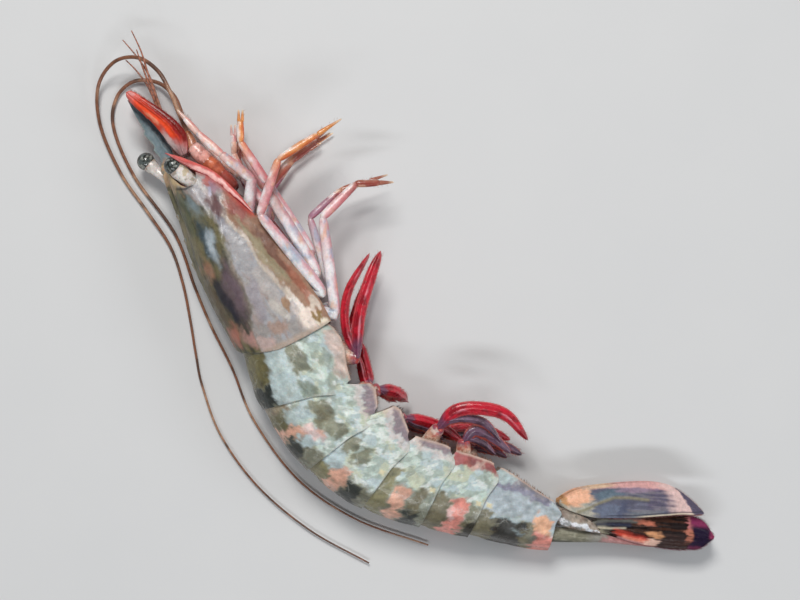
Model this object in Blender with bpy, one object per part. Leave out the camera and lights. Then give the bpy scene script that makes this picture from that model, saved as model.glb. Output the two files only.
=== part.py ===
"""A raw giant tiger prawn, lying on its left flank with its right flank up.

The body is a carapace with its toothed rostrum, six tail segments, a telson and two pairs of
uropods. The limbs are the eyes, antennules, antennae with their scales, third maxillipeds, five
pairs of walking legs and five pairs of swimmerets. Each is a closed solid of its own.

Lengths are in metres, +Z is up. +X runs from the head to the tail, and the belly faces +Y.
The body follows one bent line, the axis, through the hinges of its segments. Three local frames
ride on it: one at the neck for the head, one in the middle of each segment, one at the root of
the tail fan. In each of them a point is given as (along, belly, rise): how far along the frame,
how far towards the belly, and how far above the mid-plane between the two flanks.
"""

import math

import bmesh
import bpy
from mathutils import Vector

# ---------------------------------------------------------------- driving dimensions

GAP = 0.0003                    # clearance between neighbouring pieces
UP = Vector((0.0, 0.0, 1.0))

NECK = Vector((-0.0196, -0.0111, 0.0106))   # hinge between the head and the tail, on the axis
HEAD_HEADING = -22.4            # degrees, direction of the head's axis from front to neck
TAIL_FAN_HEADING = 31.0         # degrees, direction of the tail fan's axis

# one value for each of the six tail segments
SEGMENT_LENGTH = (0.0146, 0.0151, 0.0143, 0.0141, 0.0126, 0.0209)
SEGMENT_HEADING = (-33.0, -15.0, 1.0, 18.5, 21.5, 18.5)     # degrees
PLEURON_LOBE = (0.0012, 0.0048, 0.0046, 0.0009, 0.0006, 0.0006)

# share of its side lobe that a segment has along its length: fullest near the front
LOBE_SHAPE = ((0.0, 0.75), (0.12, 1.0), (0.35, 0.92), (0.7, 0.45), (1.0, 0.0))

# one value for each of the seven hinges, from the neck to the root of the tail fan
BACK_DEPTH = (0.0113, 0.0108, 0.0110, 0.0106, 0.0100, 0.0092, 0.0056)
BELLY_DEPTH = (0.0138, 0.0128, 0.0132, 0.0126, 0.0120, 0.0110, 0.0066)
HALF_WIDTH = (0.0109, 0.0109, 0.0108, 0.0103, 0.0095, 0.0085, 0.0060)
SEAM_SLANT = (0.28, 0.26, 0.16, 0.17, 0.16, 0.12, 0.0)      # run to the rear per run to the belly
AXIS_HEIGHT = (0.0106, 0.0106, 0.0105, 0.0100, 0.0092, 0.0082, 0.0060)

# carapace: (distance ahead of the neck, back depth, belly depth, half width)
CARAPACE_SECTIONS = (
    (0.0000, 0.0113, 0.0138, 0.0109),
    (0.0050, 0.0116, 0.0141, 0.0112),
    (0.0140, 0.0114, 0.0135, 0.0112),
    (0.0240, 0.0105, 0.0122, 0.0108),
    (0.0330, 0.0088, 0.0104, 0.0098),
    (0.0410, 0.0067, 0.0084, 0.0087),
    (0.0480, 0.0054, 0.0062, 0.0072),
    (0.0510, 0.0048, 0.0045, 0.0052),
    (0.0530, 0.0044, 0.0034, 0.0039),
    (0.0560, 0.0035, 0.0010, 0.0026),
)
BELLY_HOLLOW = 0.0040           # how far the belly lies inside the shell's lower edges
SHELL_WALL = 0.0012             # thickness of those edges
FLANK_TAPER = 0.20              # share by which the body narrows towards the belly
TUCK = 0.045                    # share by which a segment is smaller where it slides under the next

# the rostrum seen from the side, as (ahead, belly), and the points of the teeth on its edges
ROSTRUM_UPPER = ((0.0260, -0.0104), (0.0340, -0.0089), (0.0420, -0.0069), (0.0500, -0.0054),
                 (0.0550, -0.0043), (0.0590, -0.0030), (0.0640, -0.0031), (0.0710, -0.0033),
                 (0.0760, -0.0030))
ROSTRUM_LOWER = ((0.0260, -0.0092), (0.0340, -0.0076), (0.0420, -0.0052), (0.0500, -0.0022),
                 (0.0570, 0.0009), (0.0614, 0.0004), (0.0662, -0.0001), (0.0710, -0.0015),
                 (0.0758, -0.0026))
UPPER_TEETH = (0.0305, 0.0365, 0.0430, 0.0495, 0.0555, 0.0610, 0.0660)
LOWER_TEETH = (0.0640, 0.0682, 0.0720)
TOOTH_HEIGHT = 0.0008
TOOTH_DROP = 0.0008             # how far ahead of its point a tooth ends
ROSTRUM_HALF_THICKNESS = 0.0008

ARCH_STEPS = 5                  # facets from the ridge of the back to the widest point
FLANK_STEPS = 3                 # facets from there to the lower edge

SIDES = {"right": 1.0, "left": -1.0}

# colours: name -> (red, green, blue, roughness)
COLOURS = {
    "carapace": (0.36, 0.27, 0.22, 0.30),
    "tail_shell": (0.30, 0.34, 0.29, 0.30),
    "tail_fan": (0.10, 0.09, 0.12, 0.30),
    "limb": (0.62, 0.27, 0.24, 0.35),
    "swimmeret": (0.55, 0.06, 0.07, 0.35),
    "feeler": (0.42, 0.20, 0.12, 0.45),
    "eye": (0.02, 0.02, 0.02, 0.10),
}


# ---------------------------------------------------------------- the bent axis and its frames

def direction(degrees):
    """Unit vector in the XY plane at an angle from +X."""
    return Vector((math.cos(math.radians(degrees)), math.sin(math.radians(degrees)), 0.0))


def mix(a, b, t):
    return a + (b - a) * t


def level_at(line, place):
    """The value of a line of (place, value) points at a place between them."""
    for (start, low), (end, high) in zip(line, line[1:]):
        if place <= end:
            return mix(low, high, (place - start) / (end - start))
    return line[-1][1]


class Frame:
    """A place on the axis: its origin, the way along it, and the way to the belly."""

    def __init__(self, origin, along):
        self.origin = origin
        self.along = along.normalized()
        self.belly = Vector((-self.along.y, self.along.x, 0.0))

    def at(self, along, belly, rise):
        return self.origin + self.along * along + self.belly * belly + UP * rise


class HeadFrame(Frame):
    """The frame at the neck, whose along runs forwards to the head's front."""

    def __init__(self, origin, backwards):
        super().__init__(origin, backwards)
        self.along = -self.along


def hinge_points():
    """The seven hinges of the tail, from the neck to the root of the tail fan."""
    points = [NECK.copy()]
    for index, (length, heading) in enumerate(zip(SEGMENT_LENGTH, SEGMENT_HEADING)):
        point = points[-1] + direction(heading) * length
        point.z = AXIS_HEIGHT[index + 1]
        points.append(point)
    return points


def hinge_headings():
    """The axis turns evenly, so at a hinge it has the mean heading of the pieces on both sides."""
    pieces = (HEAD_HEADING,) + SEGMENT_HEADING + (TAIL_FAN_HEADING,)
    return [0.5 * (before + after) for before, after in zip(pieces, pieces[1:])]


HINGES = hinge_points()
HINGE_HEADINGS = hinge_headings()


def axis_frame(segment, t):
    """The frame at share t of a segment, on a smooth curve from its front hinge to its rear one."""
    start = HINGES[segment]
    end = HINGES[segment + 1]
    pull = SEGMENT_LENGTH[segment]
    leave = direction(HINGE_HEADINGS[segment]) * pull
    arrive = direction(HINGE_HEADINGS[segment + 1]) * pull
    t2 = t * t
    t3 = t2 * t
    origin = (start * (2 * t3 - 3 * t2 + 1) + leave * (t3 - 2 * t2 + t)
              + end * (3 * t2 - 2 * t3) + arrive * (t3 - t2))
    heading = mix(HINGE_HEADINGS[segment], HINGE_HEADINGS[segment + 1], t)
    return Frame(origin, direction(heading))


HEAD = HeadFrame(NECK, direction(HEAD_HEADING))
FAN = Frame(HINGES[-1], direction(TAIL_FAN_HEADING))


# ---------------------------------------------------------------- making meshes and objects

def make_material(kind):
    material = bpy.data.materials.get(kind)
    if material is None:
        red, green, blue, roughness = COLOURS[kind]
        material = bpy.data.materials.new(kind)
        material.use_nodes = True
        surface = material.node_tree.nodes["Principled BSDF"]
        surface.inputs["Base Color"].default_value = (red, green, blue, 1.0)
        surface.inputs["Roughness"].default_value = roughness
        surface.inputs["Metallic"].default_value = 0.0
        material.diffuse_color = (red, green, blue, 1.0)
    return material


def make_object(name, mesh_data, kind):
    bmesh.ops.recalc_face_normals(mesh_data, faces=mesh_data.faces)
    mesh = bpy.data.meshes.new(name)
    mesh_data.to_mesh(mesh)
    mesh_data.free()
    mesh.shade_smooth()
    mesh.materials.append(make_material(kind))
    piece = bpy.data.objects.new(name, mesh)
    bpy.context.collection.objects.link(piece)
    return piece


def loft(rings):
    """A closed body through rings of equal size, with a flat face on each end."""
    mesh_data = bmesh.new()
    loops = [[mesh_data.verts.new(point) for point in ring] for ring in rings]
    for front, rear in zip(loops, loops[1:]):
        count = len(front)
        for index in range(count):
            follow = (index + 1) % count
            mesh_data.faces.new((front[index], front[follow], rear[follow], rear[index]))
    mesh_data.faces.new(loops[0])
    mesh_data.faces.new(loops[-1])
    return mesh_data


def flatten_on_floor(mesh_data):
    """Cut off what would lie under the floor, which leaves a small flat spot to rest on."""
    geometry = list(mesh_data.verts) + list(mesh_data.edges) + list(mesh_data.faces)
    cut = bmesh.ops.bisect_plane(mesh_data, geom=geometry, plane_co=(0.0, 0.0, 0.0),
                                 plane_no=UP, clear_inner=True)
    rim = [item for item in cut["geom_cut"] if isinstance(item, bmesh.types.BMEdge)]
    if rim:
        bmesh.ops.holes_fill(mesh_data, edges=rim, sides=0)


def unite(piece, extra):
    """Fuse another closed piece into this one."""
    union = piece.modifiers.new("union", "BOOLEAN")
    union.operation = "UNION"
    union.object = extra
    depsgraph = bpy.context.evaluated_depsgraph_get()
    fused = bpy.data.meshes.new_from_object(piece.evaluated_get(depsgraph))
    piece.modifiers.clear()
    piece.data = fused
    bpy.data.objects.remove(extra)


def sweep(points, half_widths, half_depths, across_of, sides):
    """Rings of elliptic section along a path. across_of gives the wide way for a tangent."""
    rings = []
    last = len(points) - 1
    for index, (point, half_width, half_depth) in enumerate(zip(points, half_widths, half_depths)):
        before = points[max(index - 1, 0)]
        after = points[min(index + 1, last)]
        tangent = (after - before).normalized()
        across = across_of(tangent)
        across = (across - tangent * across.dot(tangent)).normalized()
        normal = tangent.cross(across)
        ring = []
        for side in range(sides):
            angle = 2.0 * math.pi * (side + 0.5) / sides
            offset = across * half_width * math.cos(angle) + normal * half_depth * math.sin(angle)
            ring.append(point + offset)
        rings.append(ring)
    return loft(rings)


def smooth_path(points, steps):
    """A curve through the points (Catmull-Rom), with some steps between each two."""
    path = []
    padded = [points[0] * 2 - points[1]] + list(points) + [points[-1] * 2 - points[-2]]
    for p0, p1, p2, p3 in zip(padded, padded[1:], padded[2:], padded[3:]):
        for step in range(steps):
            t = step / steps
            path.append(0.5 * (p1 * 2 + (p2 - p0) * t + (p0 * 2 - p1 * 5 + p2 * 4 - p3) * t ** 2
                               + (p1 * 3 - p0 - p2 * 3 + p3) * t ** 3))
    path.append(points[-1].copy())
    return path


def lying_flat(roll=0.0):
    """The wide way of a blade: level, or turned about the blade's length by roll degrees."""
    def across_of(tangent):
        level = UP.cross(tangent).normalized()
        lifted = tangent.cross(level)
        return level * math.cos(math.radians(roll)) - lifted * math.sin(math.radians(roll))
    return across_of


def edged_blade(frame, stations, half_thickness, side):
    """A thin blade between two edge lines of a frame, thickest along its middle.

    Each station is (along, back edge, belly edge, back rise, belly rise).
    """
    rings = []
    last = len(stations) - 1
    for index, (along, back, belly, back_rise, belly_rise) in enumerate(stations):
        thickness = half_thickness * mix(1.0, 0.5, index / last)
        upper = []
        lower = []
        for x in (0.0, 0.2, 0.5, 0.8, 1.0):
            height = thickness * (0.25 + 0.75 * math.sqrt(1.0 - (2.0 * x - 1.0) ** 2))
            depth = mix(back, belly, x)
            rise = mix(back_rise, belly_rise, x)
            upper.append(frame.at(along, depth, SIDES[side] * (rise + height)))
            lower.append(frame.at(along, depth, SIDES[side] * (rise - height)))
        rings.append(upper + lower[::-1])
    return loft(rings)


# ---------------------------------------------------------------- the shell

def shell_ring(frame, back, belly, half_width, slant, lobe=0.0):
    """One cross-section: the back's arch, the two flanks and the hollow belly between them.

    The section leans to the rear by slant for each length down, and lobe lengthens its flanks.
    """
    half = []
    for step in range(ARCH_STEPS + 1):
        angle = 0.5 * math.pi * step / ARCH_STEPS
        half.append((-back * math.cos(angle), half_width * math.sin(angle) ** 0.9))
    for step in range(1, FLANK_STEPS + 1):
        t = step / FLANK_STEPS
        half.append(((belly + lobe) * t, half_width * (1.0 - FLANK_TAPER * t * t)))
    edge = half_width * (1.0 - FLANK_TAPER)
    hollow = min(BELLY_HOLLOW, 0.45 * belly)
    half.append((belly + lobe - 0.25 * SHELL_WALL, edge - SHELL_WALL))
    half.append((belly - hollow, 0.62 * edge))
    half.append((belly - 0.9 * hollow, 0.0))
    mirrored = [(depth, -rise) for depth, rise in reversed(half[1:-1])]
    return [frame.at(slant * depth, depth, rise) for depth, rise in half + mirrored]


def make_segment(index):
    """A tail segment: smaller where it slides under the one before, with rounded side lobes."""
    gap_share = 0.75 * GAP / SEGMENT_LENGTH[index]
    rings = []
    for t in (0.0, 0.1, 0.28, 0.5, 0.72, 0.9, 1.0):
        frame = axis_frame(index, mix(gap_share, 1.0 - gap_share, t))
        size = 1.0 - TUCK * (1.0 - t) ** 2
        lobe = PLEURON_LOBE[index] * level_at(LOBE_SHAPE, t)
        back = mix(BACK_DEPTH[index], BACK_DEPTH[index + 1], t) * size
        belly = mix(BELLY_DEPTH[index], BELLY_DEPTH[index + 1], t) * size
        width = mix(HALF_WIDTH[index], HALF_WIDTH[index + 1], t) * size
        slant = mix(SEAM_SLANT[index], SEAM_SLANT[index + 1], t)
        rings.append(shell_ring(frame, back, belly, width, slant, lobe))
    mesh_data = loft(rings)
    flatten_on_floor(mesh_data)
    make_object(f"tail_segment_{index + 1}", mesh_data, "tail_shell")


def neck_share(ahead):
    """How close a place is to the neck: 1 at it, 0 from the carapace's third section on."""
    return max(0.0, 1.0 - ahead / CARAPACE_SECTIONS[2][0])


def carapace_frame(ahead):
    """The head's frame, turned towards the neck's own heading close to the neck."""
    heading = mix(HEAD_HEADING, HINGE_HEADINGS[0], neck_share(ahead))
    return Frame(HEAD.at(ahead, 0.0, 0.0), direction(heading))


def toothed(edge, teeth, height, length):
    """An edge line with teeth, each a slow rise forwards to its point and a quick drop."""
    points = dict(edge)
    for tip in teeth:
        for ahead, lift in ((tip - length, 0.0), (tip, height), (tip + TOOTH_DROP, 0.0)):
            points[ahead] = level_at(edge, ahead) + lift
    return sorted(points.items())


def rostrum_outline():
    """The rostrum seen from the side, as (ahead, belly): the upper edge forwards, the lower back."""
    upper = toothed(ROSTRUM_UPPER, UPPER_TEETH, -TOOTH_HEIGHT, 0.0038)
    lower = toothed(ROSTRUM_LOWER, LOWER_TEETH, 0.5 * TOOTH_HEIGHT, 0.0024)
    return upper + lower[::-1]


def make_carapace():
    rings = []
    for ahead, back, belly, half_width in CARAPACE_SECTIONS:
        clearance = 0.5 * GAP if ahead == 0.0 else 0.0
        slant = SEAM_SLANT[0] * neck_share(ahead)
        rings.append(shell_ring(carapace_frame(ahead + clearance), back, belly, half_width, slant))
    mesh_data = loft(rings)
    flatten_on_floor(mesh_data)
    carapace = make_object("carapace", mesh_data, "carapace")
    faces = []
    for rise in (-ROSTRUM_HALF_THICKNESS, ROSTRUM_HALF_THICKNESS):
        faces.append([HEAD.at(ahead, belly, rise) for ahead, belly in rostrum_outline()])
    unite(carapace, make_object("rostrum", loft(faces), "carapace"))


# ---------------------------------------------------------------- the head's limbs

def make_eye(side, root, centre):
    """A short stalk that widens into a ball."""
    rise = SIDES[side]
    start = HEAD.at(root[0], root[1], root[2] * rise)
    end = HEAD.at(centre[0], centre[1], centre[2] * rise)
    ball = 0.0025
    way = (end - start).normalized()
    points = [start, mix(start, end, 0.45)]
    radii = [0.0014, 0.0013]
    for degrees in (-62, -35, 0, 35, 62, 82):
        points.append(end + way * ball * math.sin(math.radians(degrees)))
        radii.append(ball * math.cos(math.radians(degrees)))
    mesh_data = sweep(points, radii, radii, lying_flat(), 10)
    make_object(f"eye_{side}", mesh_data, "eye")


def make_scale(side):
    """The antennal scale: a stiff blade beside the rostrum, tilted a little."""
    rise = SIDES[side]
    path = [HEAD.at(*point) for point in (
        (0.0568, 0.0026, 0.0053 * rise), (0.0592, 0.0030, 0.0056 * rise),
        (0.0625, 0.0029, 0.0058 * rise), (0.0668, 0.0019, 0.0058 * rise),
        (0.0710, 0.0004, 0.0055 * rise), (0.0748, -0.0011, 0.0051 * rise),
        (0.0772, -0.0020, 0.0048 * rise))]
    widths = [0.0008, 0.0020, 0.0027, 0.0024, 0.0018, 0.0014, 0.0004]
    depths = [0.0004, 0.0005, 0.0005, 0.0005, 0.0004, 0.0003, 0.0002]
    mesh_data = sweep(path, widths, depths, lying_flat(12.0 * rise), 8)
    make_object(f"antennal_scale_{side}", mesh_data, "limb")


def make_antenna_base(side):
    """The antenna's stout first joints, under the front edge of the carapace."""
    rise = SIDES[side]
    points = [HEAD.at(*point) for point in (
        (0.0420, 0.0098, 0.0034 * rise), (0.0466, 0.0087, 0.0040 * rise),
        (0.0512, 0.0073, 0.0043 * rise), (0.0558, 0.0062, 0.0041 * rise),
        (0.0600, 0.0063, 0.0037 * rise))]
    radii = [0.0013, 0.0018, 0.0018, 0.0015, 0.0009]
    make_object(f"antenna_base_{side}", sweep(points, radii, radii, lying_flat(), 8), "limb")


def make_antennule(side):
    """The small first feeler, between the eyes and the scales, with a short lash."""
    rise = SIDES[side]
    points = [HEAD.at(*point) for point in (
        (0.0574, 0.0016, 0.0021 * rise), (0.0620, 0.0023, 0.0021 * rise),
        (0.0658, 0.0028, 0.0020 * rise), (0.0720, 0.0038, 0.0020 * rise),
        (0.0790, 0.0052, 0.0022 * rise), (0.0850, 0.0058 + 0.0008 * rise, 0.0025 * rise),
        (0.0910, 0.0056 + 0.0016 * rise, 0.0028 * rise))]
    radii = [0.0009, 0.0009, 0.0007, 0.0005, 0.0004, 0.0003, 0.0002]
    make_object(f"antennule_{side}", sweep(points, radii, radii, lying_flat(), 6), "feeler")


# ways of the long feelers, in the head's frame: forwards out of their bases, round in a loop,
# and back along the floor past the carapace and the tail
ANTENNA_ROUTES = {
    "right": ((0.0606, 0.0063, 0.0037), (0.0660, 0.0070, 0.0035), (0.0720, 0.0078, 0.0032),
              (0.0785, 0.0078, 0.0022), (0.0845, 0.0050, 0.0000), (0.0872, -0.0010, -0.0036),
              (0.0842, -0.0080, -0.0074), (0.0750, -0.0128, -0.0094), (0.0613, -0.0145, -0.0099),
              (0.0492, -0.0136, -0.0099), (0.0378, -0.0130, -0.0099), (0.0279, -0.0150, -0.0099),
              (0.0185, -0.0182, -0.0099), (0.0091, -0.0218, -0.0099), (0.0014, -0.0244, -0.0099),
              (-0.0124, -0.0268, -0.0099), (-0.0291, -0.0252, -0.0099),
              (-0.0461, -0.0192, -0.0099), (-0.0618, -0.0100, -0.0099)),
    "left": ((0.0606, 0.0063, -0.0038), (0.0665, 0.0076, -0.0048), (0.0720, 0.0082, -0.0066),
             (0.0775, 0.0062, -0.0085), (0.0810, 0.0010, -0.0094), (0.0796, -0.0052, -0.0098),
             (0.0730, -0.0100, -0.0099), (0.0590, -0.0118, -0.0099), (0.0404, -0.0102, -0.0099),
             (0.0252, -0.0128, -0.0099), (0.0140, -0.0143, -0.0099), (0.0013, -0.0152, -0.0099),
             (-0.0136, -0.0172, -0.0099), (-0.0332, -0.0150, -0.0099),
             (-0.0501, -0.0070, -0.0099), (-0.0657, 0.0060, -0.0099)),
}
ANTENNA_THICKNESS = 0.0006      # half thickness at the root


def make_antenna(side):
    """The long feeler: a thin lash that tapers all the way."""
    path = smooth_path([HEAD.at(*point) for point in ANTENNA_ROUTES[side]], 3)
    last = len(path) - 1
    radii = [ANTENNA_THICKNESS * mix(1.0, 0.4, index / last) for index in range(last + 1)]
    make_object(f"antenna_{side}", sweep(path, radii, radii, lying_flat(), 5), "feeler")


# jointed limbs of the head: the joints from hip to tip in the head's frame, the half thickness
# at the hip, and whether the limb ends in a claw
LEGS = {
    "maxilliped_right": (((0.0330, 0.0085, 0.0030), (0.0410, 0.0146, 0.0062), (0.0505, 0.0110, 0.0070),
                          (0.0585, 0.0085, 0.0067), (0.0665, 0.0070, 0.0062)), 0.0014, False),
    "maxilliped_left": (((0.0330, 0.0085, -0.0030), (0.0410, 0.0140, -0.0054), (0.0505, 0.0108, -0.0066),
                         (0.0585, 0.0088, -0.0068), (0.0660, 0.0080, -0.0072)), 0.0014, False),
    "leg_1_right": (((0.0275, 0.0098, 0.0030), (0.0330, 0.0146, 0.0024), (0.0430, 0.0130, 0.0022),
                     (0.0495, 0.0140, 0.0022), (0.0564, 0.0178, 0.0022)), 0.0012, True),
    "leg_1_left": (((0.0275, 0.0098, -0.0030), (0.0310, 0.0144, -0.0024), (0.0410, 0.0128, -0.0022),
                    (0.0480, 0.0144, -0.0024), (0.0546, 0.0184, -0.0026)), 0.0012, True),
    "leg_2_right": (((0.0215, 0.0104, 0.0030), (0.0165, 0.0186, 0.0026), (0.0385, 0.0176, 0.0046),
                     (0.0510, 0.0170, 0.0054), (0.0584, 0.0214, 0.0056)), 0.0014, True),
    "leg_2_left": (((0.0215, 0.0104, -0.0030), (0.0220, 0.0176, -0.0032), (0.0380, 0.0166, -0.0042),
                    (0.0502, 0.0164, -0.0050), (0.0574, 0.0202, -0.0054)), 0.0012, True),
    "leg_3_right": (((0.0155, 0.0110, 0.0030), (0.0116, 0.0174, 0.0054), (0.0368, 0.0166, 0.0086),
                     (0.0402, 0.0270, 0.0084), (0.0416, 0.0386, 0.0070)), 0.0014, True),
    "leg_3_left": (((0.0155, 0.0110, -0.0030), (0.0140, 0.0180, -0.0050), (0.0362, 0.0162, -0.0066),
                    (0.0409, 0.0264, -0.0066), (0.0419, 0.0360, -0.0072)), 0.0012, True),
    "leg_4_right": (((0.0085, 0.0114, 0.0034), (0.0062, 0.0161, 0.0071), (0.0316, 0.0126, 0.0110),
                     (0.0414, 0.0230, 0.0118), (0.0424, 0.0426, 0.0100)), 0.0013, False),
    "leg_4_left": (((0.0090, 0.0114, -0.0030), (0.0080, 0.0162, -0.0062), (0.0314, 0.0134, -0.0090),
                    (0.0416, 0.0230, -0.0093), (0.0422, 0.0400, -0.0095)), 0.0011, False),
    "leg_5_right": (((0.0025, 0.0116, 0.0034), (-0.0006, 0.0156, 0.0048), (0.0232, 0.0256, 0.0046),
                     (0.0264, 0.0376, 0.0036), (0.0218, 0.0464, 0.0026)), 0.0014, False),
    "leg_5_left": (((0.0030, 0.0116, -0.0030), (0.0020, 0.0170, -0.0020), (0.0251, 0.0228, -0.0006),
                    (0.0274, 0.0334, -0.0010), (0.0246, 0.0464, -0.0020)), 0.0012, False),
}


def jointed_path(joints, thickness):
    """A limb's articles, each fullest in its middle and pinched at its joints."""
    path = [joints[0]]
    radii = [0.8 * thickness]
    count = len(joints) - 1
    for index, (start, end) in enumerate(zip(joints, joints[1:])):
        here = thickness * mix(1.0, 0.42, index / count)
        beyond = thickness * mix(1.0, 0.42, (index + 1) / count)
        path += [mix(start, end, 0.22), mix(start, end, 0.78), end]
        radii += [here, mix(here, beyond, 0.6), 0.78 * beyond]
    radii[-1] = 0.25 * thickness
    return path, radii


def make_leg(name):
    joints, thickness, has_claw = LEGS[name]
    joints = [HEAD.at(*joint) for joint in joints]
    path, radii = jointed_path(joints, thickness)
    leg = make_object(name, sweep(path, radii, radii, lying_flat(), 6), "limb")
    if has_claw:
        palm, tip = path[-3], path[-1]
        spread = lying_flat()((tip - palm).normalized()) * 0.0011
        finger_path = [mix(palm, tip, 0.15), mix(palm, tip, 0.5) + spread * 0.8, tip + spread]
        finger_radii = [radii[-3] * 0.6, radii[-3] * 0.55, radii[-1]]
        finger = sweep(finger_path, finger_radii, finger_radii, lying_flat(), 6)
        unite(leg, make_object("finger", finger, "limb"))


# ---------------------------------------------------------------- the swimmerets

# for each segment and side: the stem's two ends, then the outer blade's way, in the frame of
# the segment's middle; and half the blade's width
SWIMMERETS = {
    (1, "right"): (((0.0020, 0.0118, 0.0032), (0.0050, 0.0164, 0.0050)),
                   ((-0.0044, 0.0219, 0.0062), (-0.0120, 0.0290, 0.0058), (-0.0170, 0.0346, 0.0048)),
                   0.0018),
    (1, "left"): (((0.0010, 0.0118, -0.0032), (0.0010, 0.0160, -0.0044)),
                  ((-0.0044, 0.0214, -0.0046), (-0.0118, 0.0284, -0.0040), (-0.0166, 0.0336, -0.0030)),
                  0.0016),
    (2, "right"): (((0.0015, 0.0123, 0.0032), (0.0032, 0.0172, 0.0034)),
                   ((0.0060, 0.0200, 0.0006), (0.0085, 0.0212, -0.0034), (0.0100, 0.0216, -0.0072)),
                   0.0018),
    (2, "left"): (((0.0010, 0.0123, -0.0032), (0.0010, 0.0162, -0.0046)),
                  ((-0.0015, 0.0176, -0.0060), (-0.0060, 0.0196, -0.0068), (-0.0100, 0.0215, -0.0074)),
                  0.0016),
    (3, "right"): (((0.0015, 0.0120, 0.0030), (0.0035, 0.0156, 0.0024)),
                   ((0.0080, 0.0180, 0.0004), (0.0140, 0.0196, -0.0012), (0.0200, 0.0196, -0.0020)),
                   0.0017),
    (3, "left"): (((0.0015, 0.0120, -0.0030), (0.0030, 0.0152, -0.0048)),
                  ((0.0075, 0.0168, -0.0064), (0.0130, 0.0184, -0.0070), (0.0185, 0.0192, -0.0072)),
                  0.0017),
    (4, "right"): (((0.0010, 0.0112, 0.0028), (0.0022, 0.0164, 0.0046)),
                   ((0.0046, 0.0222, 0.0060), (0.0105, 0.0254, 0.0064), (0.0175, 0.0262, 0.0060),
                    (0.0250, 0.0224, 0.0050)),
                   0.0020),
    (4, "left"): (((0.0010, 0.0115, -0.0028), (0.0030, 0.0150, -0.0042)),
                  ((0.0085, 0.0186, -0.0048), (0.0150, 0.0208, -0.0046), (0.0215, 0.0208, -0.0042)),
                  0.0017),
    (5, "right"): (((-0.0010, 0.0103, 0.0024), (-0.0022, 0.0144, 0.0034)),
                   ((-0.0002, 0.0180, 0.0034), (0.0050, 0.0176, 0.0030), (0.0105, 0.0152, 0.0026)),
                   0.0016),
    (5, "left"): (((0.0000, 0.0103, -0.0024), (0.0010, 0.0136, -0.0034)),
                  ((0.0055, 0.0160, -0.0036), (0.0100, 0.0164, -0.0034), (0.0140, 0.0156, -0.0032)),
                  0.0015),
}
SWIMMERET_STEM = 0.0016         # half thickness


def make_swimmeret(segment, side):
    """A stem from the belly and the paddle blade at its end."""
    stem, paddle, half_width = SWIMMERETS[(segment, side)]
    frame = axis_frame(segment - 1, 0.5)
    root, fork = (frame.at(*point) for point in stem)
    blade_route = [fork] + [frame.at(*point) for point in paddle]
    path = smooth_path([root] + blade_route, 3)
    last = len(path) - 1
    widths = []
    depths = []
    for index in range(last + 1):
        t = index / last
        stem_share = max(0.0, 1.0 - t / 0.3)
        paddle_width = half_width * math.sin(math.pi * mix(0.30, 0.93, t)) ** 0.7
        widths.append(mix(paddle_width, SWIMMERET_STEM, stem_share))
        depths.append(mix(0.0006, SWIMMERET_STEM, stem_share) * mix(1.0, 0.6, t))
    mesh_data = sweep(path, widths, depths, lying_flat(), 8)
    make_object(f"swimmeret_{segment}_{side}", mesh_data, "swimmeret")


# ---------------------------------------------------------------- the tail fan

def make_telson():
    """The pointed end plate, standing on edge because the prawn lies on its side."""
    path = [FAN.at(*point) for point in (
        (0.0006, -0.0020, 0.0), (0.0050, -0.0016, 0.0), (0.0100, -0.0013, 0.0),
        (0.0150, -0.0013, 0.0), (0.0200, -0.0016, 0.0), (0.0250, -0.0019, 0.0),
        (0.0300, -0.0020, 0.0))]
    heights = [0.0034, 0.0032, 0.0026, 0.0019, 0.0015, 0.0008, 0.0003]
    thicknesses = [0.0022, 0.0020, 0.0017, 0.0013, 0.0009, 0.0006, 0.0002]
    make_object("telson", sweep(path, heights, thicknesses, lying_flat(90.0), 12), "tail_fan")


def make_uropod_stem(side):
    """The short joint that carries both blades of one side."""
    rise = SIDES[side]
    path = [FAN.at(*point) for point in (
        (0.0010, 0.0035, 0.0030 * rise), (0.0030, 0.0030, 0.0036 * rise),
        (0.0060, 0.0023, 0.0039 * rise), (0.0090, 0.0015, 0.0036 * rise),
        (0.0116, 0.0006, 0.0032 * rise))]
    make_object(f"uropod_stem_{side}",
                sweep(path, [0.0010, 0.0019, 0.0019, 0.0014, 0.0004],
                      [0.0010, 0.0014, 0.0014, 0.0011, 0.0004],
                      lying_flat(-6.0 * rise), 10), "tail_fan")


# stations of the fan's blades: (along, back edge, belly edge, back rise, belly rise)
OUTER_BLADE = (
    (0.0012, 0.0066, 0.0072, 0.0052, 0.0048),
    (0.0030, 0.0056, 0.0094, 0.0053, 0.0046),
    (0.0070, 0.0045, 0.0114, 0.0054, 0.0044),
    (0.0110, 0.0039, 0.0125, 0.0053, 0.0044),
    (0.0150, 0.0043, 0.0133, 0.0052, 0.0044),
    (0.0200, 0.0048, 0.0142, 0.0052, 0.0044),
    (0.0250, 0.0056, 0.0148, 0.0052, 0.0044),
    (0.0290, 0.0064, 0.0146, 0.0052, 0.0044),
    (0.0330, 0.0071, 0.0128, 0.0052, 0.0044),
    (0.0365, 0.0074, 0.0104, 0.0051, 0.0045),
    (0.0390, 0.0078, 0.0083, 0.0050, 0.0046),
)
INNER_BLADE = (
    (0.0096, 0.0013, 0.0020, 0.0013, 0.0015),
    (0.0120, 0.0004, 0.0034, 0.0020, 0.0025),
    (0.0150, -0.0004, 0.0042, 0.0024, 0.0030),
    (0.0200, -0.0014, 0.0048, 0.0023, 0.0030),
    (0.0260, -0.0021, 0.0058, 0.0020, 0.0030),
    (0.0320, -0.0023, 0.0066, 0.0016, 0.0030),
    (0.0370, -0.0019, 0.0067, 0.0016, 0.0029),
    (0.0400, -0.0010, 0.0055, 0.0017, 0.0027),
    (0.0428, 0.0014, 0.0022, 0.0020, 0.0023),
)
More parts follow.
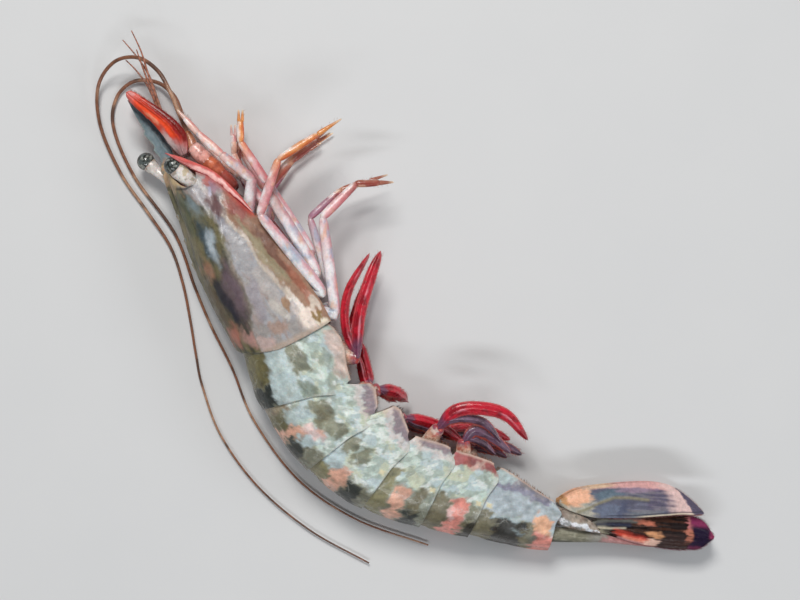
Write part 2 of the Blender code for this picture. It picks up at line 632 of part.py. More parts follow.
BLADE_HALF_THICKNESS = 0.0005


def make_uropod_blades(side):
    """The outer blade covers the lower edge of the inner one, like a folded fan."""
    for name, stations in (("outer", OUTER_BLADE), ("inner", INNER_BLADE)):
        mesh_data = edged_blade(FAN, stations, BLADE_HALF_THICKNESS, side)
        make_object(f"uropod_{name}_{side}", mesh_data, "tail_fan")


# ---------------------------------------------------------------- the whole prawn

def clear_scene():
    for piece in list(bpy.data.objects):
        bpy.data.objects.remove(piece, do_unlink=True)


def build_prawn():
    make_carapace()
    for index in range(len(SEGMENT_LENGTH)):
        make_segment(index)
    make_eye("right", (0.0500, 0.0000, 0.0079), (0.0552, -0.0012, 0.0070))
    make_eye("left", (0.0528, -0.0058, 0.0036), (0.0600, -0.0070, 0.0046))
    for side in SIDES:
        make_scale(side)
        make_antenna_base(side)
        make_antennule(side)
        make_antenna(side)
        make_uropod_stem(side)
        make_uropod_blades(side)
    for name in LEGS:
        make_leg(name)
    for segment, side in SWIMMERETS:
        make_swimmeret(segment, side)
    make_telson()


clear_scene()
build_prawn()
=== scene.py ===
"""The looks of a raw giant tiger prawn, wet from the ice, lying on its left flank.

Every visible piece is a modelled mesh, and most stand for one of the frame's solids. All of them
are placed in the same local frames as those solids: one at the neck for the head, one for each
tail segment, one at the root of the tail fan. A point in a frame is (along, belly, rise) in
millimetres: how far along it, how far towards the belly, and how far up out of the mid-plane
between the two flanks. Colours are painted on each piece in its own coordinates, and the
materials add mottling, cracks, pores, wetness and relief.
"""

import math
import random

import bmesh
import bpy
import numpy as np
from mathutils import Matrix, Vector, noise


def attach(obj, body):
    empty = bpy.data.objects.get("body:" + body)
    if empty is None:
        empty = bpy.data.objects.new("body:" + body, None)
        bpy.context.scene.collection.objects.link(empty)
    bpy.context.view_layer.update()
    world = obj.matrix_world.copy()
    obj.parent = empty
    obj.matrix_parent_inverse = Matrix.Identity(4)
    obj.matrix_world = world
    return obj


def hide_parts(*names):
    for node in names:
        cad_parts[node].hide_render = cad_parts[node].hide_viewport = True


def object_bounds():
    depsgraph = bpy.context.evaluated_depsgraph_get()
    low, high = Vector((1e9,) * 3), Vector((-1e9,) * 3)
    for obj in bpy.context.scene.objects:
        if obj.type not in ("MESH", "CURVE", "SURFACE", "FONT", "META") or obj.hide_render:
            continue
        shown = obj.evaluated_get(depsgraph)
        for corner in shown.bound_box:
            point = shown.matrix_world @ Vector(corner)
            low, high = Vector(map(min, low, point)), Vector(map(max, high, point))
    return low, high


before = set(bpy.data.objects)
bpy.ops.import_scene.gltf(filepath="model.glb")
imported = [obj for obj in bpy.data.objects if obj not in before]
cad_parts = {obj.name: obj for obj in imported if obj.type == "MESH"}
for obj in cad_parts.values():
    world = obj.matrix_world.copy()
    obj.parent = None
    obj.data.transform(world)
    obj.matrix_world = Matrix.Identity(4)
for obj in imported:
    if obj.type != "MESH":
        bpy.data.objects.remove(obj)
CAD_BOX = [list(corner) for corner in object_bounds()]

# ---------------------------------------------------------------- driving dimensions, in millimetres

MM = 0.001
UP = np.array((0.0, 0.0, 1.0))
SIDES = {"right": 1.0, "left": -1.0}

NECK = (-19.6, -11.1, 10.6)     # hinge between head and tail
HEAD_HEADING = -22.4            # degrees, from the head's front to the neck
TAIL_FAN_HEADING = 31.0

# one value for each of the six tail segments
SEGMENT_LENGTH = (14.6, 15.1, 14.3, 14.1, 12.6, 20.9)
SEGMENT_HEADING = (-33.0, -15.0, 1.0, 18.5, 21.5, 18.5)     # degrees

# one value for each of the seven hinges, from the neck to the root of the tail fan
BACK_DEPTH = (11.3, 10.8, 11.0, 10.6, 10.0, 9.2, 5.6)
BELLY_DEPTH = (13.8, 12.8, 13.2, 12.6, 12.0, 11.0, 6.6)
HALF_WIDTH = (10.9, 10.9, 10.8, 10.3, 9.5, 8.5, 6.0)
SEAM_SLANT = (0.28, 0.26, 0.16, 0.17, 0.16, 0.12, 0.0)     # run to the rear for each mm to the belly
AXIS_HEIGHT = (10.6, 10.6, 10.5, 10.0, 9.2, 8.2, 6.0)

# carapace: distances ahead of the neck, and the back depth, belly depth and half width there
CARAPACE_AHEAD = (-2.0, 0.0, 5.0, 14.0, 24.0, 33.0, 41.0, 48.0, 53.0, 56.0, 58.5)
CARAPACE_BACK = (11.2, 11.3, 11.6, 11.4, 10.5, 8.8, 6.7, 5.4, 4.4, 3.5, 2.4)
CARAPACE_BELLY = (13.7, 13.8, 14.1, 13.5, 12.2, 10.4, 8.4, 6.2, 3.4, 1.0, -1.6)
CARAPACE_WIDTH = (10.8, 10.9, 11.2, 11.2, 10.8, 9.8, 8.7, 7.6, 6.2, 4.8, 3.4)

# ---------------------------------------------------------------- colours (linear red, green, blue)

TEAL = (0.41, 0.485, 0.435)
PALE_TEAL = (0.6, 0.7, 0.63)
OLIVE = (0.155, 0.135, 0.06)
OLIVE_GREY = (0.2, 0.21, 0.16)
TAN = (0.34, 0.27, 0.18)
NAVY = (0.016, 0.021, 0.02)
SALMON = (0.74, 0.4, 0.29)
CREAM = (0.8, 0.62, 0.45)
RED = (0.48, 0.03, 0.02)
BLACK = (0.008, 0.006, 0.006)
LILAC = (0.5, 0.6, 0.62)
MOSS = (0.205, 0.205, 0.14)
DARK_MOSS = (0.2, 0.235, 0.18)
OLIVE_BROWN = (0.175, 0.15, 0.085)
OLIVE_TAN = (0.27, 0.245, 0.13)
PURPLE_GREY = (0.27, 0.205, 0.235)
BLUSH = (0.62, 0.44, 0.38)
CORAL = (0.74, 0.27, 0.22)
PEACH = (0.82, 0.45, 0.28)
WINE = (0.34, 0.055, 0.06)
SOOT = (0.03, 0.026, 0.024)
BLUE_GREY = (0.4, 0.45, 0.49)
INDIGO = (0.22, 0.21, 0.29)
PALE_CORAL = (0.8, 0.56, 0.53)


# ---------------------------------------------------------------- frames along the bent body

def direction(degrees):
    """The level way at an angle."""
    return np.array((math.cos(math.radians(degrees)), math.sin(math.radians(degrees)), 0.0))


def ease(low, high, value):
    """0 below low, 1 above high, and a smooth step between them. low may lie above high."""
    share = np.clip((value - low) / (high - low), 0.0, 1.0)
    return share * share * (3.0 - 2.0 * share)


def mix(a, b, share):
    """The value at a share of the way from a to b."""
    return a + (b - a) * share


def between(values, index, share):
    """The value at a share of the way from one hinge's, or one piece's, to the next one's."""
    return mix(values[index], values[index + 1], share)


def unit(ways):
    """The same ways with a length of 1."""
    return ways / np.linalg.norm(ways, axis=-1, keepdims=True)


def beside(frame_here, net, path):
    """How far towards the belly each point of a net lies from its own row's point on a path."""
    return frame_places(frame_here, net)[1] - frame_places(frame_here, path)[1][:, None]


class Frame:
    """A place on the body's axis, in millimetres, with the ways along it and to the belly."""

    def __init__(self, origin, along, forwards=1.0):
        self.origin = np.array(origin, float)
        self.along = along * forwards
        self.belly = np.array((-along[1], along[0], 0.0))

    def at(self, along, belly, rise):
        """The place of a point, or of an array of points, in metres."""
        along, belly, rise = (part[..., None] for part in np.broadcast_arrays(
            np.asarray(along, float), np.asarray(belly, float), np.asarray(rise, float)))
        return MM * (self.origin + along * self.along + belly * self.belly + rise * UP)


def hinge_points():
    """The middles of the seven hinges, from the neck to the root of the tail fan."""
    points = [np.array(NECK)]
    for index, (length, heading) in enumerate(zip(SEGMENT_LENGTH, SEGMENT_HEADING)):
        point = points[-1] + direction(heading) * length
        point[2] = AXIS_HEIGHT[index + 1]
        points.append(point)
    return points


def hinge_headings():
    """The body's heading at each hinge in degrees, halfway between its neighbours'."""
    pieces = (HEAD_HEADING,) + SEGMENT_HEADING + (TAIL_FAN_HEADING,)
    return [0.5 * (before + after) for before, after in zip(pieces, pieces[1:])]


HINGES = hinge_points()
HINGE_HEADINGS = hinge_headings()


def axis_frame(segment, t):
    """The frame at share t of a segment, on a smooth curve from its front hinge to its rear one."""
    start, end = HINGES[segment], HINGES[segment + 1]
    leave = direction(HINGE_HEADINGS[segment]) * SEGMENT_LENGTH[segment]
    arrive = direction(HINGE_HEADINGS[segment + 1]) * SEGMENT_LENGTH[segment]
    t2, t3 = t * t, t * t * t
    origin = (start * (2 * t3 - 3 * t2 + 1) + leave * (t3 - 2 * t2 + t)
              + end * (3 * t2 - 2 * t3) + arrive * (t3 - t2))
    return Frame(origin, direction(between(HINGE_HEADINGS, segment, t)))


HEAD = Frame(NECK, direction(HEAD_HEADING), forwards=-1.0)
FAN = Frame(HINGES[-1], direction(TAIL_FAN_HEADING))


# ---------------------------------------------------------------- painting

def cloud(points, grain, seed, octaves=3):
    """Soft noise of about -1 to 1 at points in metres, with lumps about grain millimetres wide."""
    flat = points.reshape(-1, 3) / (grain * MM)
    shift = Vector((seed * 17.3, seed * 5.1, seed * 9.7))
    values = [noise.fractal(Vector(point) + shift, 1.0, 2.0, octaves) for point in flat]
    return np.array(values).reshape(points.shape[:-1])


def grain(x, y, z, long, wide, seed, octaves=3):
    """Soft noise in a piece's own coordinates in millimetres, drawn out along x."""
    places = np.stack(np.broadcast_arrays(x / long, y / wide, z / wide), axis=-1)
    return cloud(places * MM, 1.0, seed, octaves)


def plain(shape, colour):
    """A tint field of one colour."""
    return np.broadcast_to(np.array(colour, float), tuple(shape) + (3,)).copy()


def lay(tint, colour, amount):
    """Blend a colour into a tint field by an amount field of 0 to 1."""
    tint += (np.asarray(colour) - tint) * np.clip(amount, 0.0, 1.0)[..., None]


def stain(tint, points, *stains):
    """Blend in colours where soft noise is high: (colour, strength, low, high, grain, seed) each."""
    for colour, strength, low, high, size, seed in stains:
        lay(tint, colour, strength * ease(low, high, cloud(points, size, seed)))


def line_at(x, points):
    """The height at x of a line through the points."""
    return np.interp(x, *zip(*points))


def spot(x, y, centre, radii, soft=0.35, turn=0.0):
    """1 inside an ellipse, falling to 0 across its soft edge."""
    dx, dy = x - centre[0], y - centre[1]
    cos, sin = math.cos(math.radians(turn)), math.sin(math.radians(turn))
    reach = np.hypot((dx * cos + dy * sin) / radii[0], (dy * cos - dx * sin) / radii[1])
    return ease(1.0 + soft, 1.0 - soft, reach)


def lay_marks(tint, x, y, marks, where, soft=0.35):
    """Blend in ellipses: (colour, strength, middle, half sizes, degrees turned) each."""
    for colour, strength, middle, sizes, turn in marks:
        lay(tint, colour, strength * where * spot(x, y, middle, sizes, soft, turn))


def patch(x, y, box, soft):
    """1 inside a box (left, right, top, bottom), falling to 0 across its soft edges."""
    left, right, top, bottom = box
    soft_x, soft_y = soft
    return (ease(left - soft_x, left + soft_x, x) * ease(right + soft_x, right - soft_x, x)
            * ease(top - soft_y, top + soft_y, y) * ease(bottom + soft_y, bottom - soft_y, y))


def streak(x, y, points, width):
    """1 on a line through the points, falling to 0 at its width to either side."""
    nearest = np.full(np.shape(x), 1e9)
    for (ax, ay), (bx, by) in zip(points, points[1:]):
        length = (bx - ax) ** 2 + (by - ay) ** 2
        share = np.clip(((x - ax) * (bx - ax) + (y - ay) * (by - ay)) / length, 0.0, 1.0)
        nearest = np.minimum(nearest, np.hypot(x - ax - share * (bx - ax), y - ay - share * (by - ay)))
    return ease(width, 0.0, nearest)


def lay_streaks(tint, x, y, streaks):
    """Blend in soft lines: (colour, strength, points, width) each."""
    for colour, strength, points, width in streaks:
        lay(tint, colour, strength * streak(x, y, points, width))


# ---------------------------------------------------------------- building meshes

class Piece:
    """Gathers sheets, tubes and bristles into one mesh with a tint at each vertex."""

    def __init__(self, name):
        self.name = name
        self.points = []
        self.tints = []
        self.faces = []
        self.count = 0

    def add(self, points, faces, tint):
        """Take in points in metres with their faces and colours."""
        points = np.asarray(points, float).reshape(-1, 3)
        self.points.append(points)
        self.tints.append(np.broadcast_to(np.asarray(tint, float).reshape(-1, 3), points.shape))
        self.faces += [[index + self.count for index in face] for face in faces]
        self.count += len(points)

    def grid(self, points, tint):
        """A closed body from a net of rings (rows, columns, 3), with a face on each end."""
        rows, columns = points.shape[:2]
        faces = grid_faces(rows, columns, columns)
        faces.append(list(range(columns)))
        faces.append([(rows - 1) * columns + index for index in reversed(range(columns))])
        self.add(points, faces, tint)

    def plate(self, outer, tint, thickness, outwards, inner_tint):
        """A thin closed shell under a net of points. outwards is a net of rough outward ways."""
        rows, columns = outer.shape[:2]
        normal = grid_normals(outer)
        flip = np.sign(np.sum(normal * outwards, axis=-1, keepdims=True))
        inner = outer - normal * np.where(flip == 0, 1.0, flip) * thickness * MM
        total = rows * columns
        faces = grid_faces(rows, columns, columns - 1)
        faces += [[total + index for index in reversed(face)] for face in faces]
        rim = ([(0, column) for column in range(columns)]
               + [(row, columns - 1) for row in range(1, rows)]
               + [(rows - 1, column) for column in reversed(range(columns - 1))]
               + [(row, 0) for row in reversed(range(1, rows - 1))])
        ids = [row * columns + column for row, column in rim]
        for here, after in zip(ids, ids[1:] + ids[:1]):
            faces.append([here, here + total, after + total, after])
        tint = np.asarray(tint).reshape(-1, 3)
        self.add(np.concatenate([outer.reshape(-1, 3), inner.reshape(-1, 3)]), faces,
                 np.concatenate([tint, np.broadcast_to(inner_tint, tint.shape)]))

    def build(self, material, slot, nodes):
        """Make the object, let it ride on the body and stand for the frame's nodes."""
        mesh = bpy.data.meshes.new(self.name)
        mesh.from_pydata(np.concatenate(self.points).tolist(), [], self.faces)
        shell = bmesh.new()
        shell.from_mesh(mesh)
        bmesh.ops.recalc_face_normals(shell, faces=shell.faces)
        shell.to_mesh(mesh)
        shell.free()
        mesh.shade_smooth()
        tint = mesh.color_attributes.new("tint", "FLOAT_COLOR", "POINT")
        colours = np.ones((self.count, 4))
        colours[:, :3] = np.concatenate(self.tints)
        tint.data.foreach_set("color", colours.ravel())
        mesh.materials.append(material)
        piece = bpy.data.objects.new(self.name, mesh)
        bpy.context.scene.collection.objects.link(piece)
        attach(piece, "root")
        if nodes:
            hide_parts(*nodes)
        return piece


def grid_faces(rows, columns, reach):
    """Four-sided faces of a net, reach of them in a row: as many as columns where it closes."""
    return [[row * columns + column, row * columns + (column + 1) % columns,
             (row + 1) * columns + (column + 1) % columns, (row + 1) * columns + column]
            for row in range(rows - 1) for column in range(reach)]


def grid_normals(points):
    """Unit normals of a net."""
    down = np.gradient(points, axis=0)
    across = np.gradient(points, axis=1)
    normal = np.cross(down, across)
    return normal / np.maximum(np.linalg.norm(normal, axis=-1, keepdims=True), 1e-12)


def smooth_path(points, count):
    """count points along a curve through the given ones (Catmull-Rom), evenly in parameter."""
    points = np.asarray(points, float)
    padded = np.concatenate([[2 * points[0] - points[1]], points, [2 * points[-1] - points[-2]]])
    places = np.linspace(0.0, len(points) - 1, count)
    index = np.minimum(places.astype(int), len(points) - 2)
    t = (places - index)[:, None]
    p0, p1, p2, p3 = (padded[index + step] for step in range(4))
    return 0.5 * (2 * p1 + (p2 - p0) * t + (2 * p0 - 5 * p1 + 4 * p2 - p3) * t ** 2
                  + (3 * p1 - p0 - 3 * p2 + p3) * t ** 3)


def path_in(frame_here, points, count, side=1.0):
    """A smooth path through points of a frame, or through their mirror images for side -1."""
    return smooth_path([frame_here.at(along, belly, rise * side) for along, belly, rise in points],
                       count)


def path_ways(path, across):
    """Unit tangent, wide way and normal at each point of a path, for a wide way wished for."""
    tangent = unit(np.gradient(path, axis=0))
    across = np.broadcast_to(across, path.shape)
    across = unit(across - tangent * np.sum(across * tangent, axis=-1, keepdims=True))
    return tangent, across, np.cross(tangent, across)


def level_across(path, roll=0.0):
    """The wide way of a blade along a path in metres: level, or turned by roll degrees."""
    tangent = unit(np.gradient(path, axis=0))
    level = unit(np.cross(UP, tangent))
    lifted = np.cross(tangent, level)
    return level * math.cos(math.radians(roll)) - lifted * math.sin(math.radians(roll))


def tube(path, wide, deep, across, sides):
    """A net of elliptic rings along a path in metres, with half sizes in millimetres."""
    _, across, normal = path_ways(path, across)
    angle = 2.0 * np.pi * np.arange(sides) / sides
    wide = np.broadcast_to(wide, len(path))[:, None, None] * MM
    deep = np.broadcast_to(deep, len(path))[:, None, None] * MM
    return (path[:, None] + across[:, None] * wide * np.cos(angle)[:, None]
            + normal[:, None] * deep * np.sin(angle)[:, None])


# ---------------------------------------------------------------- materials

class Graph:
    """A short way to write a material's nodes."""

    def __init__(self, name):
        self.material = bpy.data.materials.new(name)
        self.material.use_nodes = True
        self.tree = self.material.node_tree
        self.surface = self.tree.nodes["Principled BSDF"]
        self.place = self.node("ShaderNodeTexCoord").outputs["Object"]

    def node(self, kind, settings=None, **inputs):
        """A new node. inputs go by a socket's name, or by i and its number."""
        node = self.tree.nodes.new(kind)
        for key, value in (settings or {}).items():
            setattr(node, key, value)
        for key, value in inputs.items():
            self.feed(node.inputs[int(key[1:]) if key[0] == "i" and key[1:].isdigit() else key], value)
        return node

    def feed(self, socket, value):
        """Link a socket to another one, or set its value."""
        if isinstance(value, bpy.types.NodeSocket):
            self.tree.links.new(value, socket)
        else:
            socket.default_value = value

    def math(self, operation, a, b=0.0):
        return self.node("ShaderNodeMath", {"operation": operation}, i0=a, i1=b).outputs[0]

    def noise(self, grain, detail, rough=0.55):
        """Noise of about 0 to 1 with lumps about grain millimetres wide."""
        node = self.node("ShaderNodeTexNoise", Vector=self.place, Scale=1.0 / (grain * MM),
                         Detail=detail, Roughness=rough)
        return node.outputs["Fac"]

    def span(self, value, low, high, to_low, to_high):
        """A smooth step of a value from one range to another."""
        node = self.node("ShaderNodeMapRange", {"interpolation_type": "SMOOTHSTEP"}, Value=value)
        for index, number in enumerate((low, high, to_low, to_high)):
            node.inputs[index + 1].default_value = number
        return node.outputs["Result"]

    def blend(self, share, a, b, way="MIX"):
        """Colour b over colour a by a share."""
        node = self.node("ShaderNodeMix", {"data_type": "RGBA", "blend_type": way})
        self.feed(node.inputs["Factor"], share)
        self.feed(node.inputs[6], a)
        self.feed(node.inputs[7], b)
        return node.outputs[2]


PORE_GRAIN = 0.35               # millimetres
PORE_DEPTH = 0.1               # share of the relief's own depth
CRACK_GRAIN = 5.5
CRACK_WANDER = 2.4
CRACK_COLOUR = (0.8, 0.82, 0.74, 1.0)
DOT_SHADE = (0.3, 0.24, 0.22, 1.0)


def cracks(graph, strength):
    """Fine wandering lines between cells, strong in some places and missing in others."""
    bend = graph.node("ShaderNodeTexNoise", Vector=graph.place, Scale=1.0 / (2.2 * MM), Detail=3.0)
    wander = graph.node("ShaderNodeVectorMath", {"operation": "SCALE"}, i0=bend.outputs["Color"])
    wander.inputs["Scale"].default_value = CRACK_WANDER * MM
    moved = graph.node("ShaderNodeVectorMath", {"operation": "ADD"}, i0=graph.place,
                       i1=wander.outputs[0]).outputs[0]
    cells = graph.node("ShaderNodeTexVoronoi", {"feature": "DISTANCE_TO_EDGE"}, Vector=moved,
                       Scale=1.0 / (CRACK_GRAIN * MM))
    line = graph.span(cells.outputs["Distance"], 0.0, 0.06, 1.0, 0.0)
    return graph.math("MULTIPLY", line, graph.span(graph.noise(6.0, 2.0), 0.48, 0.62, 0.0, strength))


def wet_material(name, mottle, mottle_grain, speckle, relief, relief_grain, rough, coat,
                 speckle_grain=0.3, glow=0.12, gloss=0.36, crack=0.0):
    """Painted tint under mottling, pale cracks and fine dots, with a wet coat over soft relief."""
    graph = Graph(name)
    tint = graph.node("ShaderNodeAttribute", {"attribute_name": "tint"}).outputs["Color"]
    lumps = graph.noise(mottle_grain, 5.0, 0.65)
    shade = graph.span(lumps, 0.3, 0.7, 1.0 - mottle, 1.0 + mottle)
    grey = graph.node("ShaderNodeCombineColor", Red=shade, Green=shade, Blue=shade).outputs[0]
    colour = graph.blend(1.0, tint, grey, "MULTIPLY")
    if crack:
        colour = graph.blend(cracks(graph, crack), colour, CRACK_COLOUR)
    dots = graph.span(graph.noise(speckle_grain, 2.0), 0.58, 0.7, 0.0, speckle)
    dark = graph.blend(1.0, colour, DOT_SHADE, "MULTIPLY")
    colour = graph.blend(dots, colour, dark)
    graph.feed(graph.surface.inputs["Base Color"], colour)
    patches = graph.noise(3.2, 4.0)
    graph.feed(graph.surface.inputs["Roughness"], graph.span(patches, 0.35, 0.68, *rough))
    height = graph.math("ADD", graph.noise(relief_grain, 4.0),
                        graph.math("MULTIPLY", graph.noise(PORE_GRAIN, 2.0), PORE_DEPTH))
    bump = graph.node("ShaderNodeBump", Height=height, Strength=relief, Distance=0.8 * MM)
    graph.feed(graph.surface.inputs["Normal"], bump.outputs["Normal"])
    for socket, value in (("Specular IOR Level", gloss), ("Coat Weight", coat),
                          ("Coat Roughness", 0.13), ("Subsurface Weight", glow),
                          ("Subsurface Radius", (1.0, 0.45, 0.3)), ("Subsurface Scale", 1.2 * MM)):
        graph.surface.inputs[socket].default_value = value
    return graph.material


# for each material: mottling and its grain, speckle, relief and its grain, roughness, wet coat
MATERIALS = {name: wet_material(name, *sizes, **more) for name, sizes, more in (
    ("head_shell", (0.13, 1.6, 0.22, 0.4, 2.6, (0.3, 0.54), 0.14), {}),
    ("tail_shell", (0.13, 1.5, 0.2, 0.42, 2.2, (0.26, 0.5), 0.16), {"crack": 0.16}),
    ("tail_fan", (0.14, 1.0, 0.18, 0.22, 0.9, (0.24, 0.46), 0.03), {"gloss": 0.14, "glow": 0.06}),
    ("antennal_scale", (0.12, 1.2, 0.16, 0.22, 1.1, (0.2, 0.38), 0.14), {"gloss": 0.22, "glow": 0.06}),
    ("limb", (0.1, 0.9, 0.14, 0.24, 0.9, (0.2, 0.38), 0.35), {"speckle_grain": 0.25, "glow": 0.22}),
    ("swimmeret", (0.14, 0.9, 0.18, 0.26, 0.8, (0.18, 0.36), 0.35), {}),
    ("feeler", (0.25, 1.5, 0.4, 0.15, 0.5, (0.25, 0.5), 0.2), {}),
    ("eye", (0.3, 0.6, 0.2, 0.12, 0.5, (0.1, 0.22), 0.5), {"speckle_grain": 0.2, "glow": 0.0}),
    ("flesh", (0.25, 1.6, 0.25, 0.4, 1.0, (0.25, 0.55), 0.2), {"glow": 0.22}),
)}


# ---------------------------------------------------------------- the shell's cross-section

WIDEST = 0.5                    # share of the way round, from ridge to lower edge, at the widest
FLANK_TAPER = 0.24              # share by which the body narrows towards its lower edges


def section(around, back, belly, width):
    """Belly and rise of points round the body. around runs from -1, left edge, to 1, right edge."""
    side = np.abs(around)
    arch = np.clip(side / WIDEST, 0.0, 1.0) * 0.5 * np.pi
    flank = np.clip((side - WIDEST) / (1.0 - WIDEST), 0.0, None)
    depth = np.where(side < WIDEST, -back * np.cos(arch), belly * flank)
    narrowing = 1.0 - FLANK_TAPER * flank ** 2.2
    rise = width * np.where(side < WIDEST, np.sin(arch) ** 0.9, narrowing) * np.sign(around)
    return depth, rise


def around_net(rows, columns):
    """The place round the body of each point of a shell's net."""
    return np.broadcast_to(np.linspace(-1.0, 1.0, columns), (rows, columns))


def lifted(depth, rise, lift):
    """Points of the cross-section moved outwards by lift millimetres."""
    scale = 1.0 + lift / np.hypot(depth, rise)
    return depth * scale, rise * scale


# ---------------------------------------------------------------- the carapace

CARAPACE_ROWS = 154
CARAPACE_COLUMNS = 236
CARAPACE_WALL = 0.45
TURN_LENGTH = 14.0              # how far ahead of the neck the rings stop turning
# how far ahead the front edge lies at places round from the ridge to the lower edge: the rostrum's
# root, the deep notch over the eye, and the cheek below it
FRONT_EDGE = ((0.0, 57.0), (0.1, 56.4), (0.18, 54.4), (0.27, 51.6), (0.35, 49.0), (0.43, 47.6),
              (0.55, 47.2), (0.64, 47.8), (0.72, 49.0), (0.82, 50.4), (0.92, 51.6), (1.0, 52.4))


def carapace_net():
    """How far ahead of the neck and where round the body each point of the carapace lies."""
    around = around_net(CARAPACE_ROWS, CARAPACE_COLUMNS)
    side = np.abs(around)
    front = line_at(side, FRONT_EDGE)
    rear = -1.4 + 1.2 * side ** 4 + 5.6 * np.clip(1.0 - side / 0.46, 0.0, 1.0) ** 1.2
    share = np.linspace(0.0, 1.0, CARAPACE_ROWS)[:, None]
    return mix(rear, front, share), around


def carapace_section(ahead, around):
    """Belly and rise of the plain carapace, before its relief."""
    return section(around, *(np.interp(ahead, CARAPACE_AHEAD, sizes) for sizes in (
        CARAPACE_BACK, CARAPACE_BELLY, CARAPACE_WIDTH)))


def carapace_place(ahead, around, lift=0.0):
    """The outer surface in metres. Near the neck the rings turn with the body's bend."""
    depth, rise = lifted(*carapace_section(ahead, around), lift)
    turn = np.clip(1.0 - ahead / TURN_LENGTH, 0.0, 1.1) * math.radians(HINGE_HEADINGS[0] - HEAD_HEADING)
    return HEAD.at(ahead + np.sin(turn) * depth, np.cos(turn) * depth, rise)


def carapace_relief(ahead, around, belly):
    """How far the shell stands out of its plain section: ridges, grooves and the rolled edge."""
    side = np.abs(around)
    crest = 0.9 * ease(8.0, 44.0, ahead) * np.exp(-(side / 0.035) ** 2)
    gutter = -0.45 * ease(20.0, 44.0, ahead) * np.exp(-((side - 0.085) / 0.03) ** 2)
    upper = 0.38 * streak(ahead, belly, ((46.0, -0.5), (38.5, 0.2), (28.0, -1.2), (9.0, -4.2)), 2.6)
    lower = 0.45 * streak(ahead, belly, ((38.0, 3.0), (30.2, 5.9), (22.0, 7.2), (14.0, 8.8),
                                         (5.0, 12.4)), 2.2)
    neck_groove = -0.4 * streak(ahead, belly, ((24.0, -9.5), (29.0, -4.0), (34.5, 0.5),
                                                (37.0, 3.5), (41.0, 5.0)), 1.8)
    spine = 0.55 * spot(ahead, belly, (36.8, 1.4), (2.4, 0.8), soft=0.8, turn=18.0)
    hollow = -0.45 * spot(ahead, belly, (21.0, 9.6), (13.0, 1.9), soft=0.8, turn=-18.0)
    return crest + gutter + upper + lower + neck_groove + spine + hollow


# where the dark back ends and where the rusty lower zone begins: (ahead, belly)
BACK_LINE = ((-3.0, -7.0), (3.0, -5.8), (8.0, -4.3), (14.0, -1.9), (22.0, -1.3), (30.0, 0.2),
             (36.0, 0.7), (42.0, -0.6), (50.0, -3.2), (60.0, -4.0))
RUST_LINE = ((-3.0, 13.2), (5.0, 11.4), (8.0, 8.9), (14.0, 7.2), (22.0, 6.1), (30.0, 5.2),
             (36.0, 4.4), (42.0, 5.8), (50.0, 5.0), (60.0, 2.0))
# the rolled red front edge
RIM_LINE = ((33.5, 10.4), (39.6, 8.8), (45.0, 7.1), (48.5, 5.4), (51.3, 3.4), (54.6, 1.1), (57.9, -1.4))
RIM_RISE = (7.5, 6.9, 6.3, 6.2, 6.8, 7.9, 8.7)
RIM_HALF = (0.2, 0.9, 1.05, 1.15, 1.05, 0.7, 0.1)
RIM_ROWS = 150

# soft marks on each zone: (colour, strength, middle as (ahead, belly), half sizes, degrees turned)
BACK_MARKS = (
    ((0.028, 0.026, 0.038), 0.94, (15.5, -7.0), (9.0, 1.8), 0.0),
    ((0.15, 0.105, 0.125), 0.95, (17.5, -3.7), (8.6, 2.0), 8.0),
    ((0.11, 0.075, 0.04), 0.85, (16.0, -9.8), (8.0, 1.1), 0.0),
    ((0.44, 0.16, 0.11), 0.9, (7.4, -9.9), (2.7, 1.5), 8.0),
    ((0.52, 0.29, 0.26), 0.85, (4.8, -6.4), (2.2, 2.0), 0.0),
    ((0.36, 0.19, 0.12), 0.85, (26.5, -7.4), (3.6, 1.2), 10.0),
    ((0.19, 0.165, 0.09), 0.75, (33.0, -6.6), (4.2, 1.2), 10.0),
    ((0.06, 0.09, 0.11), 0.9, (32.5, -3.6), (5.4, 1.4), 10.0),
    # painted silver highlight streak on the slate back
    ((0.42, 0.48, 0.52), 0.93, (30.8, -3.1), (3.8, 1.15), 16.0),
    ((0.1, 0.11, 0.06), 0.8, (41.0, -4.6), (4.6, 1.3), 8.0),
    ((0.21, 0.265, 0.29), 0.85, (43.6, -1.9), (3.8, 1.7), 0.0),
    ((0.64, 0.42, 0.26), 0.95, (53.4, -3.6), (4.4, 1.2), 4.0),
    ((0.3, 0.245, 0.16), 0.6, (38.0, -7.2), (3.0, 0.8), 12.0),
)
